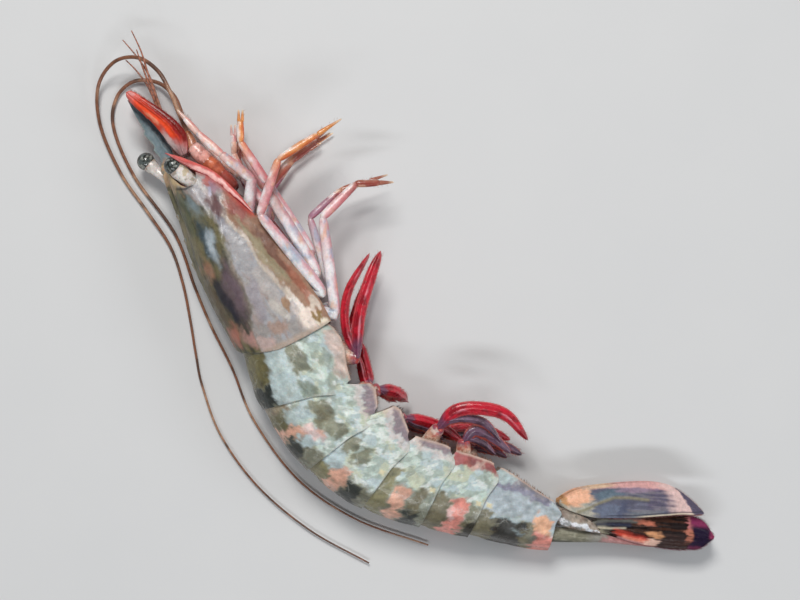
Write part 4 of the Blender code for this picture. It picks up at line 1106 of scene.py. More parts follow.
def make_scale(side):
    """The antennal scale: a stiff outer edge that ends in a spine, and a thin inner leaf."""
    rise = SIDES[side]
    piece = Piece(f"scale_{side}")
    path = path_in(HEAD, SCALE_PATH, SCALE_ROWS, rise)
    share = np.linspace(0.0, 1.0, SCALE_ROWS)
    half = line_at(share, SCALE_HALF)

    def ribs(t, x):
        return (0.3 * np.exp(-((x - 0.4) / 0.07) ** 2) - 0.14 * np.exp(-((x - 0.27) / 0.06) ** 2)
                + 0.16 * np.exp(-((x - 0.7) / 0.1) ** 2))

    across = level_across(path, 12.0 * rise)
    net, t, x = leaf_along(path, across, half, 0.5 * (1.0 - 0.6 * share), 48, ribs, 0.45)
    grain = cloud(net, 2.2, 65)
    fine = cloud(net, 0.9, 59)
    y = 0.5 + 0.5 * beside(HEAD, net, path) / half[:, None] + 0.05 * grain + 0.03 * fine
    u = t + 0.03 * grain
    tint = plain(t.shape, (0.58, 0.048, 0.02))
    lay(tint, (0.4, 0.25, 0.25), 0.92 * ease(0.3, 0.12, u + 0.25 * y - 0.08))
    lay(tint, (0.64, 0.48, 0.46), 0.9 * ease(0.32, 0.18, y) * ease(0.48, 0.3, u) * ease(0.04, 0.12, u))
    bright_line = np.interp(t, (0.2, 0.8), (0.46, 0.3))
    lay(tint, (0.9, 0.085, 0.026), 0.95 * ease(0.19, 0.05, np.abs(y - bright_line))
        * ease(0.22, 0.32, u) * ease(0.92, 0.84, u))
    # painted orange highlight spot on the bright streak
    lay(tint, (0.9, 0.34, 0.2), 0.7 * spot(u * 20.0, y, (11.6, 0.22), (2.2, 0.1)))
    lay(tint, (0.3, 0.015, 0.02), 0.9 * ease(0.07, 0.02, np.abs(y - 0.66)) * ease(0.12, 0.22, u)
        * ease(0.74, 0.6, u))
    lay(tint, (0.17, 0.01, 0.008), 0.95 * ease(0.64, 0.76, y) * ease(0.78, 0.62, u)
        * ease(0.06, 0.14, u))
    lay(tint, (0.2, 0.014, 0.014), 0.9 * ease(0.86, 0.96, y) * ease(0.9, 0.8, u))
    lay(tint, (0.78, 0.16, 0.13), 0.85 * ease(0.8, 0.88, u))
    lay(tint, (0.78, 0.38, 0.36), 0.8 * spot(u * 20.0, y, (18.9, 0.66), (0.8, 0.2)))
    lay(tint, (0.22, 0.02, 0.02), 0.8 * ease(0.06, 0.02, y) * ease(0.45, 0.55, t))
    piece.grid(net, tint)
    chooser = random.Random(70)
    rows = some_rows(chooser, 30, SCALE_ROWS - 1, 240)
    edge_bristles(piece, path, across, half * -0.97, rows, chooser, (0.6, 0.15, 1.0),
                  (0.38, 0.12, 0.08))
    piece.build(MATERIALS["antennal_scale"], "antennal_scale", [f"antennal_scale_{side}"])


ANTENNA_BASE = ((42.0, 9.6, 3.4), (46.6, 8.4, 4.0), (51.2, 7.0, 4.4), (56.0, 5.7, 4.4), (60.4, 6.2, 3.8))


def make_antenna_base(side):
    """Four stout joints under the rolled rim, dark red behind and salmon in front."""
    rise = SIDES[side]
    piece = Piece(f"antenna_root_{side}")
    joints = [HEAD.at(a, b, c * rise) for a, b, c in ANTENNA_BASE]
    shades = (((0.2, 0.03, 0.02), (0.36, 0.07, 0.05)), ((0.42, 0.09, 0.05), (0.62, 0.17, 0.08)),
              ((0.74, 0.3, 0.24), (0.84, 0.46, 0.4)), ((0.66, 0.3, 0.2), (0.42, 0.16, 0.07)))
    for start, end, first, last, (back, front) in zip(joints, joints[1:], (1.6, 1.9, 2.0, 1.5),
                                                      (1.8, 2.0, 1.8, 1.0), shades):
        paint = along_colours((0.0, back), (0.7, front), (1.0, front),
                              stains=(((0.2, 0.03, 0.02), 0.5, 1.4),))
        article(piece, start, end, first, last, paint, flat=0.8, sides=24, rows=26)
    piece.build(MATERIALS["limb"], "limb", [f"antenna_base_{side}"])


LASH_RINGS = 90
# the two short lashes of a first feeler: (ahead, belly, belly apart from the other side's, rise)
LASHES = (((65.6, 2.6, 0.0, 1.7), (72.0, 3.8, 0.0, 1.9), (79.0, 5.2, 0.0, 2.2), (85.0, 5.8, 0.8, 2.5),
           (91.0, 5.6, 1.6, 2.8)),
          ((65.6, 2.3, 0.0, 1.7), (71.4, 3.0, 0.0, 2.0), (77.0, 3.8, 0.3, 2.4), (82.0, 4.0, 1.0, 2.7),
           (86.0, 3.9, 1.9, 3.0)))
ANTENNULE_JOINTS = ((52.5, 0.6, 1.5), (58.5, 1.4, 1.6), (62.5, 2.1, 1.7), (65.8, 2.7, 1.7))


def make_antennule(side):
    """Three stout joints between the eyes, then two short ringed lashes."""
    rise = SIDES[side]
    piece = Piece(f"first_feeler_{side}")
    joints = [HEAD.at(a, b, c * rise) for a, b, c in ANTENNULE_JOINTS]
    shade = along_colours((0.0, (0.42, 0.19, 0.17)), (0.5, (0.54, 0.32, 0.28)), (1.0, (0.4, 0.11, 0.07)))
    for start, end, first, last in zip(joints, joints[1:], (1.15, 1.0, 0.85), (1.0, 0.85, 0.7)):
        article(piece, start, end, first, last, shade, flat=0.75)
    order = np.arange(LASH_RINGS)
    for route in LASHES:
        path = smooth_path([HEAD.at(a, b + c * rise, d * rise) for a, b, c, d in route], LASH_RINGS)
        radius = mix(0.4, 0.14, np.linspace(0.0, 1.0, LASH_RINGS)) * (1.0 + 0.1 * (order % 2))
        net = tube(path, radius, radius, level_across(path), 8)
        rings = np.where(order % 6 < 2, 0.6, 1.0)[:, None, None]
        piece.grid(net, plain(net.shape[:2], (0.4, 0.16, 0.1)) * rings)
    piece.build(MATERIALS["feeler"], "feeler", [f"antennule_{side}"])


# ways of the long feelers, as the frame's solids lie
ANTENNA_ROUTES = {
    "right": ((60.4, 6.3, 3.8), (66.0, 7.0, 3.6), (72.0, 7.8, 3.2), (78.5, 7.8, 2.2), (84.5, 5.0, 0.0),
              (87.2, -1.0, -3.6), (84.2, -8.0, -7.4), (75.0, -12.8, -9.4), (61.3, -14.5, -9.9),
              (49.2, -13.6, -9.9), (37.8, -13.0, -9.9), (27.9, -15.0, -9.9), (18.5, -18.2, -9.9),
              (9.1, -21.8, -9.9), (1.4, -24.4, -9.9), (-12.4, -26.8, -9.9), (-29.1, -25.2, -9.9),
              (-46.1, -19.2, -9.9), (-61.8, -10.0, -9.9)),
    "left": ((60.4, 6.3, -3.8), (66.5, 7.6, -4.8), (72.0, 8.2, -6.6), (77.5, 6.2, -8.5),
             (81.0, 1.0, -9.4), (79.6, -5.2, -9.8), (73.0, -10.0, -9.9), (59.0, -11.8, -9.9),
             (40.4, -10.2, -9.9), (25.2, -12.8, -9.9), (14.0, -14.3, -9.9), (1.3, -15.2, -9.9),
             (-13.6, -17.2, -9.9), (-33.2, -15.0, -9.9), (-50.1, -7.0, -9.9), (-65.7, 6.0, -9.9)),
}
ANTENNA_RINGS = 620


def make_antenna(side):
    """A long ringed feeler that thins to its tip and lies back over the body."""
    piece = Piece(f"long_feeler_{side}")
    path = path_in(HEAD, ANTENNA_ROUTES[side], ANTENNA_RINGS)
    s = np.linspace(0.0, 1.0, ANTENNA_RINGS)
    radius = mix(0.6, 0.22, s) * (1.0 + 0.06 * (np.arange(ANTENNA_RINGS) % 2))
    net = tube(path, radius, radius, level_across(path), 8)
    tint = plain(net.shape[:2], (0.24, 0.1, 0.055))
    stain(tint, net, ((0.46, 0.27, 0.17), 0.8, 0.0, 0.4, 14.0, 66),
          ((0.07, 0.04, 0.03), 0.7, 0.1, 0.4, 9.0, 67))
    piece.grid(net, tint)
    piece.build(MATERIALS["feeler"], "feeler", [f"antenna_{side}"])


# ---------------------------------------------------------------- maxillipeds and walking legs

CHALK = (0.88, 0.83, 0.85)
ROSE = (0.78, 0.42, 0.43)
HEATHER = (0.44, 0.23, 0.31)
AMBER = (0.8, 0.32, 0.1)
UMBER = (0.42, 0.15, 0.1)
APRICOT = (0.86, 0.56, 0.49)

# joints from hip to tip in the head's frame, half thickness at the hip, whether it ends in a claw,
# and the colours of its four joints
LEGS = {
    "maxilliped_right": (((33.0, 8.5, 3.0), (41.0, 14.6, 6.2), (50.5, 11.0, 7.0), (58.5, 8.5, 6.7),
                          (66.5, 7.0, 6.2)), 1.5, False, (CHALK, (0.72, 0.55, 0.54), APRICOT, APRICOT)),
    "maxilliped_left": (((33.0, 8.5, -3.0), (41.0, 14.0, -5.4), (50.5, 10.8, -6.6), (58.5, 8.8, -6.8),
                         (66.0, 8.0, -7.2)), 1.4, False, (CHALK, ROSE, APRICOT, APRICOT)),
    "leg_1_right": (((27.5, 9.8, 3.0), (33.0, 14.6, 2.4), (43.0, 12.9, 2.2), (49.5, 14.0, 2.2),
                     (56.4, 17.8, 2.2)), 1.3, True, (CHALK, ROSE, ROSE, (0.72, 0.45, 0.42))),
    "leg_1_left": (((27.5, 9.8, -3.0), (31.0, 14.4, -2.6), (41.0, 12.4, -2.4), (48.0, 14.4, -2.6),
                    (54.6, 18.4, -2.8)), 1.2, True, (CHALK, ROSE, HEATHER, UMBER)),
    "leg_2_right": (((21.5, 10.4, 3.0), (16.5, 18.6, 2.6), (38.5, 17.6, 4.6), (51.0, 17.0, 5.4),
                     (58.4, 21.4, 5.6)), 1.6, True, (CHALK, CHALK, ROSE, AMBER)),
    "leg_2_left": (((21.5, 10.4, -3.0), (22.0, 17.6, -3.2), (38.0, 16.4, -4.2), (50.2, 16.2, -5.0),
                    (57.4, 20.2, -5.4)), 1.3, True, (CHALK, ROSE, ROSE, AMBER)),
    "leg_3_right": (((15.5, 11.0, 3.0), (11.0, 17.0, 6.0), (36.8, 16.6, 8.6), (40.2, 27.0, 8.4),
                     (41.6, 38.6, 7.0)), 1.75, True, (CHALK, CHALK, UMBER, UMBER)),
    "leg_3_left": (((15.5, 11.0, -3.0), (14.0, 18.0, -5.0), (36.2, 16.2, -6.6), (40.9, 26.4, -6.8),
                    (41.9, 36.0, -7.4)), 1.2, True, (CHALK, ROSE, HEATHER, UMBER)),
    "leg_4_right": (((8.5, 11.4, 3.4), (6.2, 15.7, 7.0), (31.6, 11.7, 10.8), (41.4, 23.0, 11.8),
                     (42.4, 42.6, 10.0)), 1.7, False, (CHALK, CHALK, ROSE, AMBER)),
    "leg_4_left": (((9.0, 11.4, -3.0), (8.0, 16.2, -6.2), (31.4, 13.4, -9.0), (41.6, 23.0, -9.2),
                    (42.2, 40.0, -9.4)), 1.1, False, (CHALK, ROSE, ROSE, AMBER)),
    "leg_5_right": (((2.5, 11.6, 3.4), (-0.6, 15.6, 4.8), (23.2, 25.6, 4.6), (26.4, 37.6, 3.6),
                     (21.8, 46.4, 2.6)), 1.65, False, (CHALK, CHALK, ROSE, UMBER)),
    "leg_5_left": (((3.0, 11.6, -3.0), (2.0, 17.0, -2.0), (25.1, 22.8, -0.6), (27.4, 33.4, -1.0),
                    (24.6, 46.4, -2.0)), 1.3, False, (CHALK, CHALK, HEATHER, UMBER)),
}


def limb_paint(colour, after, tone):
    """One joint's paint: pale with a painted highlight on its head side, rosy with painted shade on the
    other, stained.
    """
    colour, after = np.array(colour) * tone, np.array(after) * tone

    def paint(share, net):
        blend = (0.75 * ease(0.45, 1.0, share))[:, None, None]
        tint = np.array(np.broadcast_to(mix(colour, after, blend), net.shape))
        ahead, belly = frame_places(HEAD, net)
        lean = belly - 0.6 * ahead
        lean = lean - lean.mean(axis=1, keepdims=True)
        lean = lean / np.abs(lean).max(axis=1, keepdims=True) + 0.5 * cloud(net, 2.6, 55)
        # painted shade: a darker, rosier copy of the tint on one side
        lay(tint, tint * (0.8, 0.42, 0.46), 0.9 * ease(0.15, 0.8, lean))
        # painted near-white highlight on the other side
        lay(tint, (0.98, 0.95, 0.95),
            0.85 * ease(0.1, -0.5, lean) * ease(-0.3, 0.3, cloud(net, 4.0, 56)))
        if colour.min() > 0.5:
            stain(tint, net, ((0.4, 0.47, 0.58), 0.7, 0.2, 0.42, 3.6, 57))
        stain(tint, net, ((0.8, 0.46, 0.3), 0.6, 0.34, 0.5, 2.8, 58))
        lay(tint, APRICOT, 0.6 * ease(0.07, 0.0, share)[:, None])
        lay(tint, (0.5, 0.24, 0.16), 0.6 * ease(0.95, 1.0, share)[:, None])
        return tint
    return paint


def make_foot(piece, start, end, first, last, colour, has_claw, paint):
    """The last joint: a palm with two fingers, or a shank with a slim pointed toe."""
    middle = mix(start, end, 0.62)
    knuckle = mix(first, last, 0.62)
    tip_paint = along_colours((0.0, colour), (0.6, np.array(colour) * 0.8), (1.0, CREAM))
    article(piece, start, middle, first, knuckle, paint, flat=0.8)
    if not has_claw:
        article(piece, middle, end, knuckle * 0.9, 0.2, tip_paint, flat=0.7, swell=0.05)
        return
    way = unit(end - start)
    spread = level_across(np.array([start, end]))[0] * 0.45 * MM
    for turn in (-1.0, 1.0):
        article(piece, middle + spread * turn, end + spread * turn * 1.2 - way * 0.3 * MM,
                knuckle * 0.62, 0.22, tip_paint, flat=0.8, swell=0.05)


def limb_hairs(piece, start, end, first, count, chooser):
    """Stiff hairs scattered along one joint."""
    share = np.array([chooser.uniform(0.1, 0.95) for _ in range(count)])
    way = unit(end - start)
    out = level_across(np.array([start, end]))[0] * chooser.choice((-1.0, 1.0))
    roots = start + (end - start) * share[:, None] + out * first * 0.6 * MM
    ways = out + way * 0.9 + leans(chooser, 0.4, count)
    bristles(piece, roots, ways, chooser, (0.5, 1.2), 0.035, (0.42, 0.16, 0.1))


def make_leg(name):
    """A limb from hip to tip, thinning, with its own paint and hairs on each joint."""
    joints, thickness, has_claw, colours = LEGS[name]
    joints = [HEAD.at(*joint) for joint in joints]
    piece = Piece(f"{name}_limb")
    chooser = random.Random(name)
    count = len(joints) - 1
    for index, (start, end, colour) in enumerate(zip(joints, joints[1:], colours)):
        first = thickness * mix(1.1, 0.44, index / count)
        last = thickness * mix(1.1, 0.44, (index + 1) / count)
        paint = limb_paint(colour, colours[min(index + 1, count - 1)], chooser.uniform(0.92, 1.06))
        if index == count - 1:
            make_foot(piece, start, end, first, last, colour, has_claw, paint)
        else:
            article(piece, start, end, first, last, paint, flat=0.78, swell=0.12, rows=30, sides=18)
        limb_hairs(piece, start, end, first, 26 if "maxilliped" in name else 9, chooser)
    piece.build(MATERIALS["limb"], "limb", [name])


# ---------------------------------------------------------------- swimmerets

# for each segment and side: the stem's ends, then the outer blade's way, in the frame of the
# segment's middle, and half the blade's width
SWIMMERETS = {
    (1, "right"): (((2.0, 11.8, 3.2), (5.0, 16.4, 5.0)),
                   ((-4.4, 21.9, 6.2), (-12.0, 29.0, 5.8), (-17.0, 34.6, 4.8)), 1.6),
    (1, "left"): (((1.0, 11.8, -3.2), (1.0, 16.0, -4.4)),
                  ((-4.4, 21.4, -4.6), (-11.8, 28.4, -4.0), (-16.6, 33.6, -3.0)), 1.3),
    (2, "right"): (((1.5, 12.3, 3.2), (3.2, 17.2, 3.4)),
                   ((6.0, 20.0, 0.6), (8.5, 21.2, -3.4), (10.0, 21.6, -7.2)), 1.7),
    (2, "left"): (((1.0, 12.3, -3.2), (1.0, 16.2, -4.6)),
                  ((-1.5, 17.6, -6.0), (-6.0, 19.6, -6.8), (-10.0, 21.5, -7.4)), 1.5),
    (3, "right"): (((1.5, 12.0, 3.0), (3.5, 15.6, 2.4)),
                   ((8.0, 18.0, 0.4), (14.0, 19.6, -1.2), (20.0, 19.6, -2.0)), 1.5),
    (3, "left"): (((1.5, 12.0, -3.0), (3.0, 15.2, -4.8)),
                  ((7.5, 16.8, -6.4), (13.0, 18.4, -7.0), (18.5, 19.2, -7.2)), 1.5),
    (4, "right"): (((1.0, 11.2, 2.8), (2.2, 16.4, 4.6)),
                   ((4.6, 22.2, 6.0), (10.5, 25.4, 6.4), (17.5, 26.2, 6.0), (25.0, 22.4, 5.0)), 1.8),
    (4, "left"): (((1.0, 11.5, -2.8), (3.0, 15.0, -4.2)),
                  ((8.5, 18.6, -4.8), (15.0, 20.8, -4.6), (21.5, 20.8, -4.2)), 1.5),
    (5, "right"): (((-1.0, 10.3, 2.4), (-2.2, 14.4, 3.4)),
                   ((-0.2, 18.0, 3.4), (5.0, 17.6, 3.0), (10.5, 15.2, 2.6)), 1.5),
    (5, "left"): (((0.0, 10.3, -2.4), (1.0, 13.6, -3.4)),
                  ((5.5, 16.0, -3.6), (10.0, 16.4, -3.4), (14.0, 15.6, -3.2)), 1.3),
}
# the way of an inner blade that spreads from the outer one
INNER_WAYS = {(1, "right"): ((-3.4, 17.4, 4.0), (-11.4, 22.2, 4.0), (-17.9, 31.8, 3.6))}
# colours of a blade: body, pale streak along it (partly a painted highlight), rim
RED_BLADE = ((0.58, 0.014, 0.034), (0.76, 0.24, 0.3), (0.68, 0.09, 0.1))
DUSKY_BLADE = ((0.17, 0.095, 0.15), (0.3, 0.22, 0.3), (0.6, 0.1, 0.06))
PADDLE_ROWS = 70


def paddle(piece, route, half_width, chooser, colours):
    """A narrow rolled leaf: dark rim, pale streak along it that is partly a painted highlight, stiff red
    bristles on its edges.
    """
    body, pale, rim = colours
    path = smooth_path(route, PADDLE_ROWS)
    t = np.linspace(0.0, 1.0, PADDLE_ROWS)
    half = half_width * outline(t, 0.5, 0.25, 0.45, 0.06)
    across = level_across(path)

    def fold(t, x):
        return 0.34 * np.exp(-((x - 0.45) / 0.1) ** 2) - 0.2 * np.exp(-((x - 0.72) / 0.07) ** 2)

    net, t, x = leaf_along(path, across, half, 0.55 * (1.0 - 0.55 * t), 22, fold, 0.75)
    grain = cloud(net, 1.5, 71)
    y = x + 0.06 * grain
    tint = plain(t.shape, body)
    lay(tint, np.array(body) * 0.45, 0.8 * ease(0.0, 0.3, cloud(net, 2.4, 72)))
    # pale streak along the blade: partly its own paler colour, partly a painted highlight
    lay(tint, pale, 0.85 * ease(0.13, 0.03, np.abs(y - 0.4)) * ease(0.04, 0.16, t)
        * ease(0.97, 0.8, t) * ease(-0.3, 0.25, cloud(net, 7.0, 73)))
    lay(tint, rim, 0.85 * ease(0.36, 0.44, np.abs(y - 0.5)))
    lay(tint, (0.15, 0.07, 0.13), 0.85 * ease(0.2, 0.08, t + 0.05 * grain))
    piece.grid(net, tint)
    for edge in (-1.0, 1.0):
        rows = some_rows(chooser, 6, PADDLE_ROWS - 1, int(30 * half_width))
        edge_bristles(piece, path, across, half * edge * 0.96, rows, chooser, (0.5, 0.2, 1.2),
                      (0.5, 0.06, 0.05))


def make_swimmeret(segment, side):
    """A stout stem from the belly with its outer blade and a smaller inner blade behind it."""
    stem, route, half_width = SWIMMERETS[(segment, side)]
    here = axis_frame(segment - 1, 0.5)
    piece = Piece(f"paddle_{segment}_{side}")
    chooser = random.Random(f"{segment}{side}")
    root, fork = (here.at(*point) for point in stem)
    stem_shade = along_colours((0.0, (0.66, 0.38, 0.29)), (0.35, (0.9, 0.74, 0.6)),
                               (0.62, (0.8, 0.44, 0.32)), (0.85, (0.3, 0.1, 0.15)), (1.0, RED),
                               stains=(((0.56, 0.1, 0.07), 0.7, 1.1), ((0.9, 0.78, 0.66), 0.6, 1.4)))
    article(piece, root, fork, 2.1, 1.7, stem_shade, flat=0.85, swell=0.15, rows=36, sides=28)
    outer = [fork] + [here.at(*point) for point in route]
    paddle(piece, outer, half_width, chooser, DUSKY_BLADE if segment == 5 else RED_BLADE)
    drop = np.array((0.0, 0.0, -1.6 * SIDES[side])) * MM
    if (segment, side) in INNER_WAYS:
        inner = [fork] + [here.at(*point) for point in INNER_WAYS[(segment, side)]]
    else:
        inner = [fork] + [mix(fork, point, 0.72) + drop * (0.5 + 0.3 * order) + here.belly * -1.3 * MM
                          for order, point in enumerate(outer[1:])]
    paddle(piece, inner, half_width * 0.75, chooser, RED_BLADE if segment in (1, 2) else DUSKY_BLADE)
    piece.build(MATERIALS["swimmeret"], "swimmeret", [f"swimmeret_{segment}_{side}"])


# ---------------------------------------------------------------- the tail fan

TELSON_PATH = ((-0.8, -2.0, 0.0), (5.0, -1.6, 0.0), (10.0, -1.3, 0.0), (15.0, -1.3, 0.0),
               (20.0, -1.6, 0.0), (25.0, -1.9, 0.0), (30.0, -2.0, 0.0))
TELSON_ROWS = 130
TELSON_SIDES = 60
# half its height and half its width at shares of its length
TELSON_HIGH = ((0.0, 2.2), (0.2, 2.0), (0.35, 1.8), (0.52, 1.35), (0.68, 0.95), (0.84, 0.6),
               (0.97, 0.35), (1.0, 0.1))
TELSON_WIDE = ((0.0, 3.4), (0.2, 3.0), (0.5, 1.9), (0.8, 1.0), (1.0, 0.3))


def make_telson():
    """The pointed end plate: arched, with a groove along its back."""
    piece = Piece("telson_plate")
    path = path_in(FAN, TELSON_PATH, TELSON_ROWS)
    t = np.linspace(0.0, 1.0, TELSON_ROWS)
    height = line_at(t, TELSON_HIGH)
    thick = line_at(t, TELSON_WIDE)
    across = np.broadcast_to(UP, path.shape)
    _, wide, normal = path_ways(path, across)
    angle = 2.0 * np.pi * np.arange(TELSON_SIDES) / TELSON_SIDES
    groove = 1.0 - 0.3 * np.exp(-((np.abs(np.angle(np.exp(1j * (angle - 0.5 * np.pi)))) / 0.35) ** 2))
    net = (path[:, None] + wide[:, None] * (thick[:, None, None] * MM) * np.cos(angle)[:, None]
           + normal[:, None] * (height[:, None, None] * MM) * (np.sin(angle) * groove)[:, None])
    along, belly = frame_places(FAN, net)
    grain = cloud(net, 1.6, 81)
    lines = grain + grain_of_fan(along, belly, 82)
    tint = plain(net.shape[:2], (0.215, 0.205, 0.15))
    lay(tint, (0.36, 0.35, 0.27), 0.8 * ease(-0.1, 0.25, lines) * ease(12.0, 8.0, along))
    lay(tint, (0.3, 0.285, 0.26), 0.8 * ease(8.0, 12.0, along))
    lay(tint, (0.38, 0.15, 0.15), 0.9 * ease(12.0, 17.0, along + 4.0 * grain))
    lay(tint, (0.5, 0.27, 0.26), 0.8 * ease(0.0, 0.4, lines) * ease(12.0, 16.0, along))
    lay(tint, (0.05, 0.05, 0.035), 0.8 * ease(-2.6, -3.4, belly) * ease(14.0, 9.0, along))
    piece.grid(net, tint)
    piece.build(MATERIALS["tail_fan"], "tail_fan", ["telson"])


def grain_of_fan(along, belly, seed):
    """Fine streaks that run along the tail fan."""
    return 1.4 * grain(along, belly, 0.0, 7.0, 0.55, seed, 2)


STEM_PATH = ((0.2, 3.6, 2.8), (3.0, 3.0, 3.6), (6.0, 2.3, 3.9), (9.2, 1.5, 3.6), (12.4, 0.2, 3.0))
STEM_WIDE = ((0.0, 0.8), (0.12, 2.1), (0.35, 2.3), (0.65, 1.8), (0.88, 1.0), (1.0, 0.3))
STEM_DEEP = ((0.0, 1.2), (0.3, 1.6), (0.7, 1.3), (1.0, 0.4))
STEM_ROWS = 60


def make_uropod_stem(side):
    """The stout joint that carries both blades: mottled, with a painted white highlight along it."""
    rise = SIDES[side]
    piece = Piece(f"fan_joint_{side}")
    path = path_in(FAN, STEM_PATH, STEM_ROWS, rise)
    s = np.linspace(0.0, 1.0, STEM_ROWS)
    wide = line_at(s, STEM_WIDE)
    deep = line_at(s, STEM_DEEP)
    net = tube(path, wide, deep, level_across(path, -6.0 * rise), 44)
    ridge = beside(FAN, net, path) / (wide[:, None] + 0.2) + 0.5 * cloud(net, 2.6, 83)
    tint = plain(net.shape[:2], (0.33, 0.28, 0.235))
    stain(tint, net, ((0.46, 0.38, 0.31), 0.8, 0.0, 0.3, 1.8, 87))
    # painted white highlight along the joint
    lay(tint, (0.84, 0.86, 0.9), 0.95 * ease(0.42, 0.16, np.abs(ridge + 0.42)))
    stain(tint, net, ((0.24, 0.17, 0.14), 0.7, 0.16, 0.36, 2.2, 84),
          ((0.1, 0.1, 0.08), 0.6, 0.28, 0.44, 1.3, 80))
    piece.grid(net, tint)
    piece.build(MATERIALS["tail_fan"], "tail_fan", [f"uropod_stem_{side}"])


BLADE_ROWS = 170


def finish_blade(piece, net, tint, edges, spans, seed, shade, node):
    """Paint a blade and fringe its two edges with hairs that lean back towards its tip. spans
    are the first row, the end row and the number of the hairs on each edge."""
    piece.grid(net, tint)
    chooser = random.Random(seed)
    for edge, inwards, span in zip(edges, reversed(edges), spans):
        rows = some_rows(chooser, *span)
        ways = unit((edge - inwards)[rows]) * 0.5 + unit(np.gradient(edge, axis=0))[rows]
        bristles(piece, edge[rows], ways, chooser, (0.6, 1.2), 0.04, shade)
    piece.build(MATERIALS["tail_fan"], "tail_fan", [node])


def fan_blade(back_edge, belly_edge, rises, relief, thickness, columns):
    """An arched blade between two edge lines of the fan, its points' shares across, and its edges."""
    back, belly = (smooth_path([FAN.at(a, b, rise) for a, b in edge], BLADE_ROWS)
                   for edge, rise in zip((back_edge, belly_edge), rises))
    ways = np.gradient(0.5 * (back + belly), axis=0)
    normal = np.cross(ways, belly - back)
    normal[0], normal[-1] = normal[2], normal[-3]       # the two edges meet at the ends
    normal = unit(normal * np.sign(normal[:, 2:]) * np.sign(rises[0]))
    t = np.linspace(0.0, 1.0, BLADE_ROWS)
    net, t, x = leaf(back, belly, normal, thickness * (1.0 - 0.55 * t), columns, relief)
    camber = 0.45 * (1.0 - (2.0 * x - 1.0) ** 2) * np.sin(np.pi * np.clip(t, 0.0, 1.0)) ** 0.5
    net = net + normal[:, None] * camber[..., None] * MM
    return net, x, (back, belly)


OUTER_BACK = ((0.8, 6.8), (3.0, 5.3), (7.0, 4.3), (11.0, 3.9), (15.0, 4.3), (20.0, 4.8), (28.0, 6.2),
              (33.0, 7.1), (36.5, 7.4), (39.0, 7.9))
OUTER_BELLY = ((0.8, 7.2), (2.0, 8.7), (5.0, 10.7), (9.0, 12.0), (15.0, 13.3), (20.0, 14.2),
               (25.0, 14.8), (29.0, 14.6), (33.0, 12.8), (36.5, 10.4), (39.0, 8.2))
# soft marks on each blade: (colour, strength, middle as (along, belly), half sizes, degrees turned)
OUTER_MARKS = (((0.16, 0.185, 0.255), 0.9, (14.2, 6.0), (3.6, 1.9), 0.0),
               # painted shadow: a narrow dark stripe across the blade
               ((0.09, 0.1, 0.16), 0.8, (17.4, 6.6), (0.9, 2.4), 0.0),
               ((0.175, 0.215, 0.255), 0.85, (24.0, 6.2), (4.4, 1.0), 8.0),
               ((0.225, 0.235, 0.31), 0.8, (21.6, 8.0), (2.6, 1.0), 8.0),
               ((0.115, 0.165, 0.21), 0.92, (13.4, 10.3), (3.6, 1.3), 18.0))
OUTER_VEIN = ((6.0, 4.9), (8.5, 6.2), (11.0, 7.8), (15.0, 9.7), (19.0, 10.1), (24.0, 10.0))


def outer_blade_tint(along, belly, net):
    """Slate and violet, a peach patch at the root, a pink margin, a pale band before the tip."""
    wander = cloud(net, 1.8, 85)
    lines = grain_of_fan(along, belly, 88)
    a = along + 1.0 * wander + 0.8 * lines
    b = belly + 0.35 * wander
    tint = plain(along.shape, (0.125, 0.13, 0.18))
    lay(tint, (0.42, 0.41, 0.34), 0.93 * ease(14.0, 10.5, a + 0.4 * b))
    lay(tint, (0.55, 0.49, 0.4), 0.6 * ease(14.0, 11.0, a + 0.4 * b) * ease(0.0, 0.25, wander))
    lay_marks(tint, a, b, OUTER_MARKS, 1.0)
    lay(tint, (0.145, 0.12, 0.185), 0.85 * patch(a, b, (23.6, 31.0, 7.6, 13.6), (1.5, 0.8)))
    lay(tint, (0.22, 0.2, 0.22), 0.6 * ease(0.05, 0.3, lines) * ease(17.0, 20.0, along))
    lay(tint, (0.085, 0.08, 0.12), 0.6 * ease(0.05, 0.3, -lines) * ease(17.0, 20.0, along))
    lay(tint, (0.34, 0.24, 0.32), 0.75 * spot(a, b, (21.0, 12.4), (5.0, 0.9), turn=8))
    lay(tint, (0.27, 0.24, 0.15), 0.8 * streak(along, belly, OUTER_VEIN, 0.75))
    lay(tint, (0.88, 0.48, 0.31), 0.97 * spot(a, b, (5.2, 8.7), (3.7, 2.3), soft=0.25, turn=20))
    lay(tint, (0.54, 0.27, 0.11), 0.9 * spot(a, b, (1.7, 7.6), (1.5, 1.3), soft=0.4))
    outer = line_at(along, OUTER_BELLY) - belly
    margin = np.interp(along, (6.0, 12.0, 20.0, 28.0), (0.6, 0.9, 1.2, 1.8))
    lay(tint, (0.74, 0.4, 0.38), 0.93 * ease(0.3, -0.3, outer - margin - 0.4 * wander)
        * ease(6.0, 9.0, along))
    lay(tint, (0.76, 0.58, 0.36), 0.7 * ease(0.3, -0.2, outer - 0.6) * ease(6.0, 9.0, along)
        * ease(17.0, 12.0, along))
    inner = np.interp(belly, (5.0, 8.0, 11.0, 14.0), (32.0, 31.4, 30.6, 27.0))
    outer_line = np.interp(belly, (7.0, 9.0, 12.0, 14.0), (36.4, 35.3, 33.2, 31.0))
    lay(tint, (0.76, 0.54, 0.51), 0.95 * ease(-2.6, 1.4, along + 0.5 * lines + 0.9 * wander - inner))
    lay(tint, (0.085, 0.075, 0.13), 0.96 * ease(-0.25, 0.25, along + 0.5 * wander - outer_line))
    top = belly - line_at(along, OUTER_BACK)
    lay(tint, (0.72, 0.62, 0.47), 0.9 * ease(0.5, 0.25, top) * ease(20.0, 24.0, along)
        * ease(37.0, 35.5, along))
    lay(tint, (0.035, 0.035, 0.05), 0.8 * ease(0.3, 0.0, np.abs(top - 0.65)) * ease(12.0, 15.0, along))
    return tint


